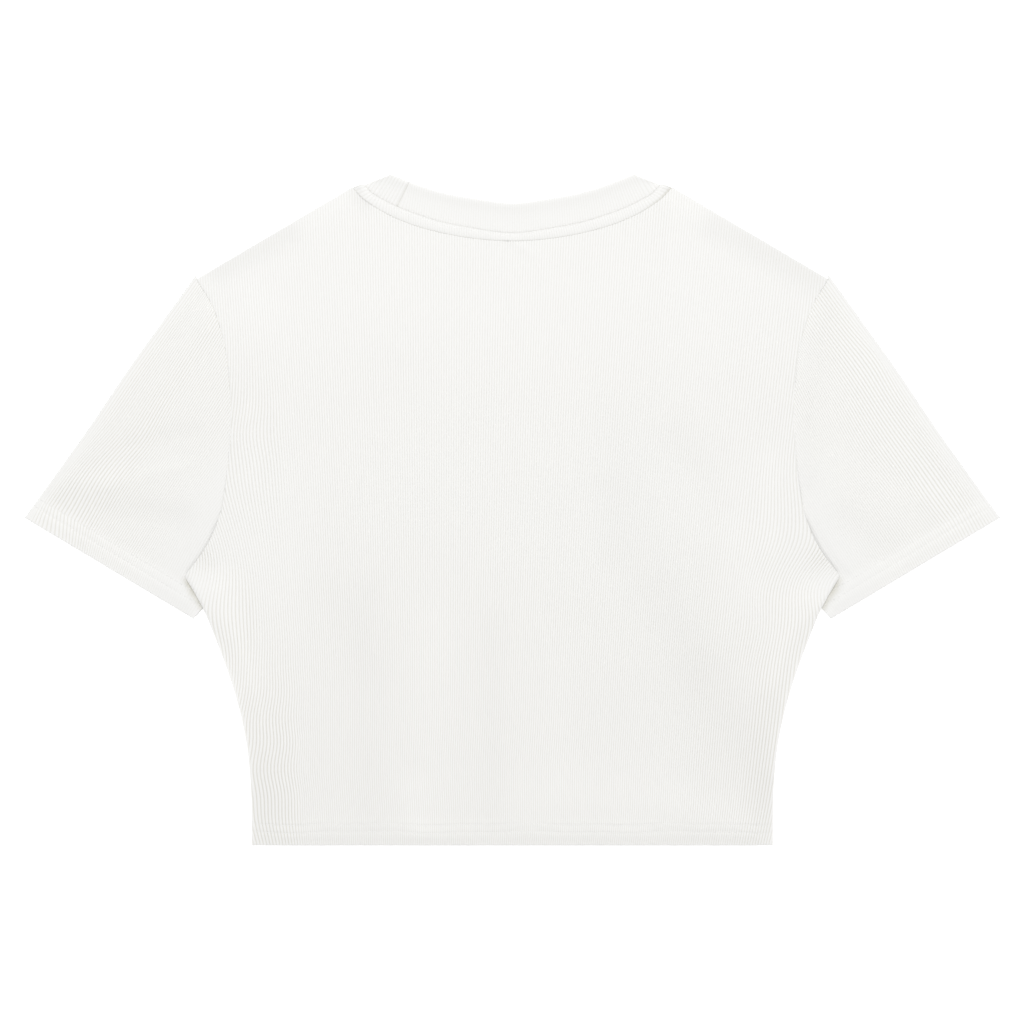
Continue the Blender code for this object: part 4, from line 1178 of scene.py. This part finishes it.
def knit_material(name, colour, valley_shade):
    """Matt cotton rib: a soft colour, painted shade in the rib valleys, painted light and shade from a UV
    layer, and the knit's small loops as bump.
    """
    material, shader = new_material(name)
    set_inputs(shader, Roughness=0.92, Specular_IOR_Level=0.25, Sheen_Weight=0.12, Sheen_Roughness=0.6)
    nodes, links = material.node_tree.nodes, material.node_tree.links
    place = nodes.new("ShaderNodeTexCoord")

    def uv_values(layer):
        uv_map = nodes.new("ShaderNodeUVMap")
        uv_map.uv_map = layer
        split = nodes.new("ShaderNodeSeparateXYZ")
        links.new(uv_map.outputs["UV"], split.inputs[0])
        return split.outputs["X"], split.outputs["Y"]

    def noise(scale, detail):
        node = nodes.new("ShaderNodeTexNoise")
        set_inputs(node, Scale=scale, Detail=detail)
        links.new(place.outputs["Object"], node.inputs["Vector"])
        return node.outputs["Fac"]

    def connect(socket, value):
        if isinstance(value, (int, float, tuple)):
            socket.default_value = value
        else:
            links.new(value, socket)

    def maths(operation, *values):
        node = nodes.new("ShaderNodeMath")
        node.operation = operation
        for socket, value in zip(node.inputs, values):
            connect(socket, value)
        return node.outputs[0]

    def mix(blend_type, factor, first, second):
        node = nodes.new("ShaderNodeMix")
        node.data_type = "RGBA"
        node.blend_type = blend_type
        sockets = {s.name: s for s in node.inputs if s.enabled}
        connect(sockets["Factor"], factor)
        connect(sockets["A"], first)
        connect(sockets["B"], second)
        return next(s for s in node.outputs if s.enabled)

    rib, course = uv_values("knit")
    tone, valley_shade_strength = uv_values("tone")
    from_crest = maths("ABSOLUTE", maths("SUBTRACT", maths("FRACT", rib), 0.5))
    along = maths("ADD", course, maths("MULTIPLY", from_crest, 1.1))
    loops = maths("SINE", maths("MULTIPLY", along, 2 * math.pi))
    fuzz = maths("MULTIPLY", noise(1400.0, 2.0), 0.35)
    bump = nodes.new("ShaderNodeBump")
    set_inputs(bump, Strength=0.2, Distance=0.00006)
    links.new(maths("ADD", maths("MULTIPLY", loops, 0.05), fuzz), bump.inputs["Height"])
    links.new(bump.outputs["Normal"], shader.inputs["Normal"])

    light = (*(min(1.0, 1.01 * c) for c in colour), 1.0)
    dark = (*(0.99 * c for c in colour), 1.0)
    shade = mix("MIX", noise(14.0, 3.0), dark, light)
    # Painted shade in the rib valleys: away from the crests the colour darkens towards the valley shade
    # colour.
    valley = nodes.new("ShaderNodeMapRange")
    valley.interpolation_type = "SMOOTHSTEP"
    set_inputs(valley, From_Min=0.2, From_Max=0.5)
    links.new(from_crest, valley.inputs["Value"])
    painted_valley_shade = maths("MULTIPLY", valley.outputs["Result"], maths("MULTIPLY", valley_shade_strength, valley_shade))
    shaded = mix("MULTIPLY", painted_valley_shade, shade, VALLEY_SHADE_COLOUR)
    # Deeper painted shade is tinted warm, towards the shadow colour.
    painted_shadow_tint = maths("MULTIPLY", maths("SUBTRACT", 0.96, tone), 5.0)
    shaded = mix("MULTIPLY", painted_shadow_tint, shaded, SHADOW_COLOUR)
    # The painted light and shade scale the colour.
    toned = nodes.new("ShaderNodeVectorMath")
    toned.operation = "SCALE"
    links.new(shaded, toned.inputs[0])
    links.new(tone, toned.inputs["Scale"])
    links.new(toned.outputs["Vector"], shader.inputs["Base Color"])
    return material


def plain_material(name, colour, roughness, glow=0.0):
    material, shader = new_material(name)
    set_inputs(shader, Base_Color=(*colour, 1.0), Roughness=roughness, Specular_IOR_Level=0.2)
    set_inputs(shader, Emission_Color=(1.0, 1.0, 1.0, 1.0), Emission_Strength=glow)
    return material


# ---------- the shirt

CLOTH_COLOUR = (0.832, 0.8292, 0.8165)
# The colour that the painted shade in the rib valleys darkens towards.
VALLEY_SHADE_COLOUR = (0.66, 0.63, 0.51, 1.0)
# The warm tint of deeper painted shade.
SHADOW_COLOUR = (0.985, 0.97, 0.9, 1.0)
# How strong the painted shade in the rib valleys is, for each knit.
BODY_SHADE = 0.23
SLEEVE_SHADE = 0.34
BAND_SHADE = 0.12

thread = plain_material("thread", CLOTH_COLOUR, 0.7)
body_materials = [knit_material("body_rib_knit", CLOTH_COLOUR, BODY_SHADE), thread]
sleeve_materials = [knit_material("sleeve_rib_knit", CLOTH_COLOUR, SLEEVE_SHADE), thread]
band_materials = [knit_material("neckband_rib_knit", CLOTH_COLOUR, BAND_SHADE)]
front = make_front(body_materials)
back = make_back(body_materials)
sleeve_left = make_sleeve("sleeve_left_cloth", -1, sleeve_materials)
sleeve_right = make_sleeve("sleeve_right_cloth", 1, sleeve_materials)
neckband = make_neckband(band_materials)

# Each piece, the node that it replaces, its slot, and its cut: length and width in metres, and area.
PIECES = (
    (front, "front", "body_rib", (0.438, 0.47), 0.165),
    (back, "back", "body_rib", (0.438, 0.47), 0.17),
    (sleeve_left, "sleeve_left", "sleeve_rib", (0.30, 0.215), 0.055),
    (sleeve_right, "sleeve_right", "sleeve_rib", (0.30, 0.215), 0.055),
    (neckband, "neckband", "neckband_rib", (0.45, 0.034), None),
)
for piece, node, slot, flat, area in PIECES:
    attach(piece, "root")
    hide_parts(node)


# ---------- floor, light and camera


def make_floor():
    mesh = bpy.data.meshes.new("floor")
    mesh.from_pydata([(-4, -4, 0), (4, -4, 0), (4, 4, 0), (-4, 4, 0)], [], [(0, 1, 2, 3)])
    mesh.materials.append(plain_material("pale_floor", (0.95, 0.95, 0.95), 0.9, 0.35))
    floor = bpy.data.objects.new("floor", mesh)
    bpy.context.scene.collection.objects.link(floor)
    floor.location.z = -0.0002


def make_light(name, place, size, power):
    data = bpy.data.lights.new(name, "AREA")
    data.shape = "DISK"
    data.size = size
    data.energy = power
    light = bpy.data.objects.new(name, data)
    bpy.context.scene.collection.objects.link(light)
    light.location = place
    light.rotation_mode = "QUATERNION"
    towards = -light.location.normalized()
    light.rotation_quaternion = towards.to_track_quat("-Z", "Y")


LENS = 85.0
SENSOR = 36.0
VIEW_WIDTH = 0.6848  # metres across the picture, at the cloth's top
VIEW_LEVEL = 0.005
VIEW_MIDDLE = (-0.0002, -0.0016)


def make_camera():
    data = bpy.data.cameras.new("camera")
    data.lens = LENS
    data.sensor_width = SENSOR
    data.clip_start = 0.05
    camera = bpy.data.objects.new("camera", data)
    bpy.context.scene.collection.objects.link(camera)
    camera.location = (*VIEW_MIDDLE, VIEW_WIDTH * LENS / SENSOR + VIEW_LEVEL)
    bpy.context.scene.camera = camera


make_floor()
make_light("soft_box", (0.03, 0.62, 2.2), 1.2, 28.0)
world = bpy.data.worlds.new("studio")
world.use_nodes = True
set_inputs(world.node_tree.nodes["Background"], Color=(1.0, 1.0, 1.0, 1.0), Strength=0.65)
bpy.context.scene.world = world
bpy.context.scene.view_settings.view_transform = "Standard"
make_camera()

bpy.context.view_layer.update()
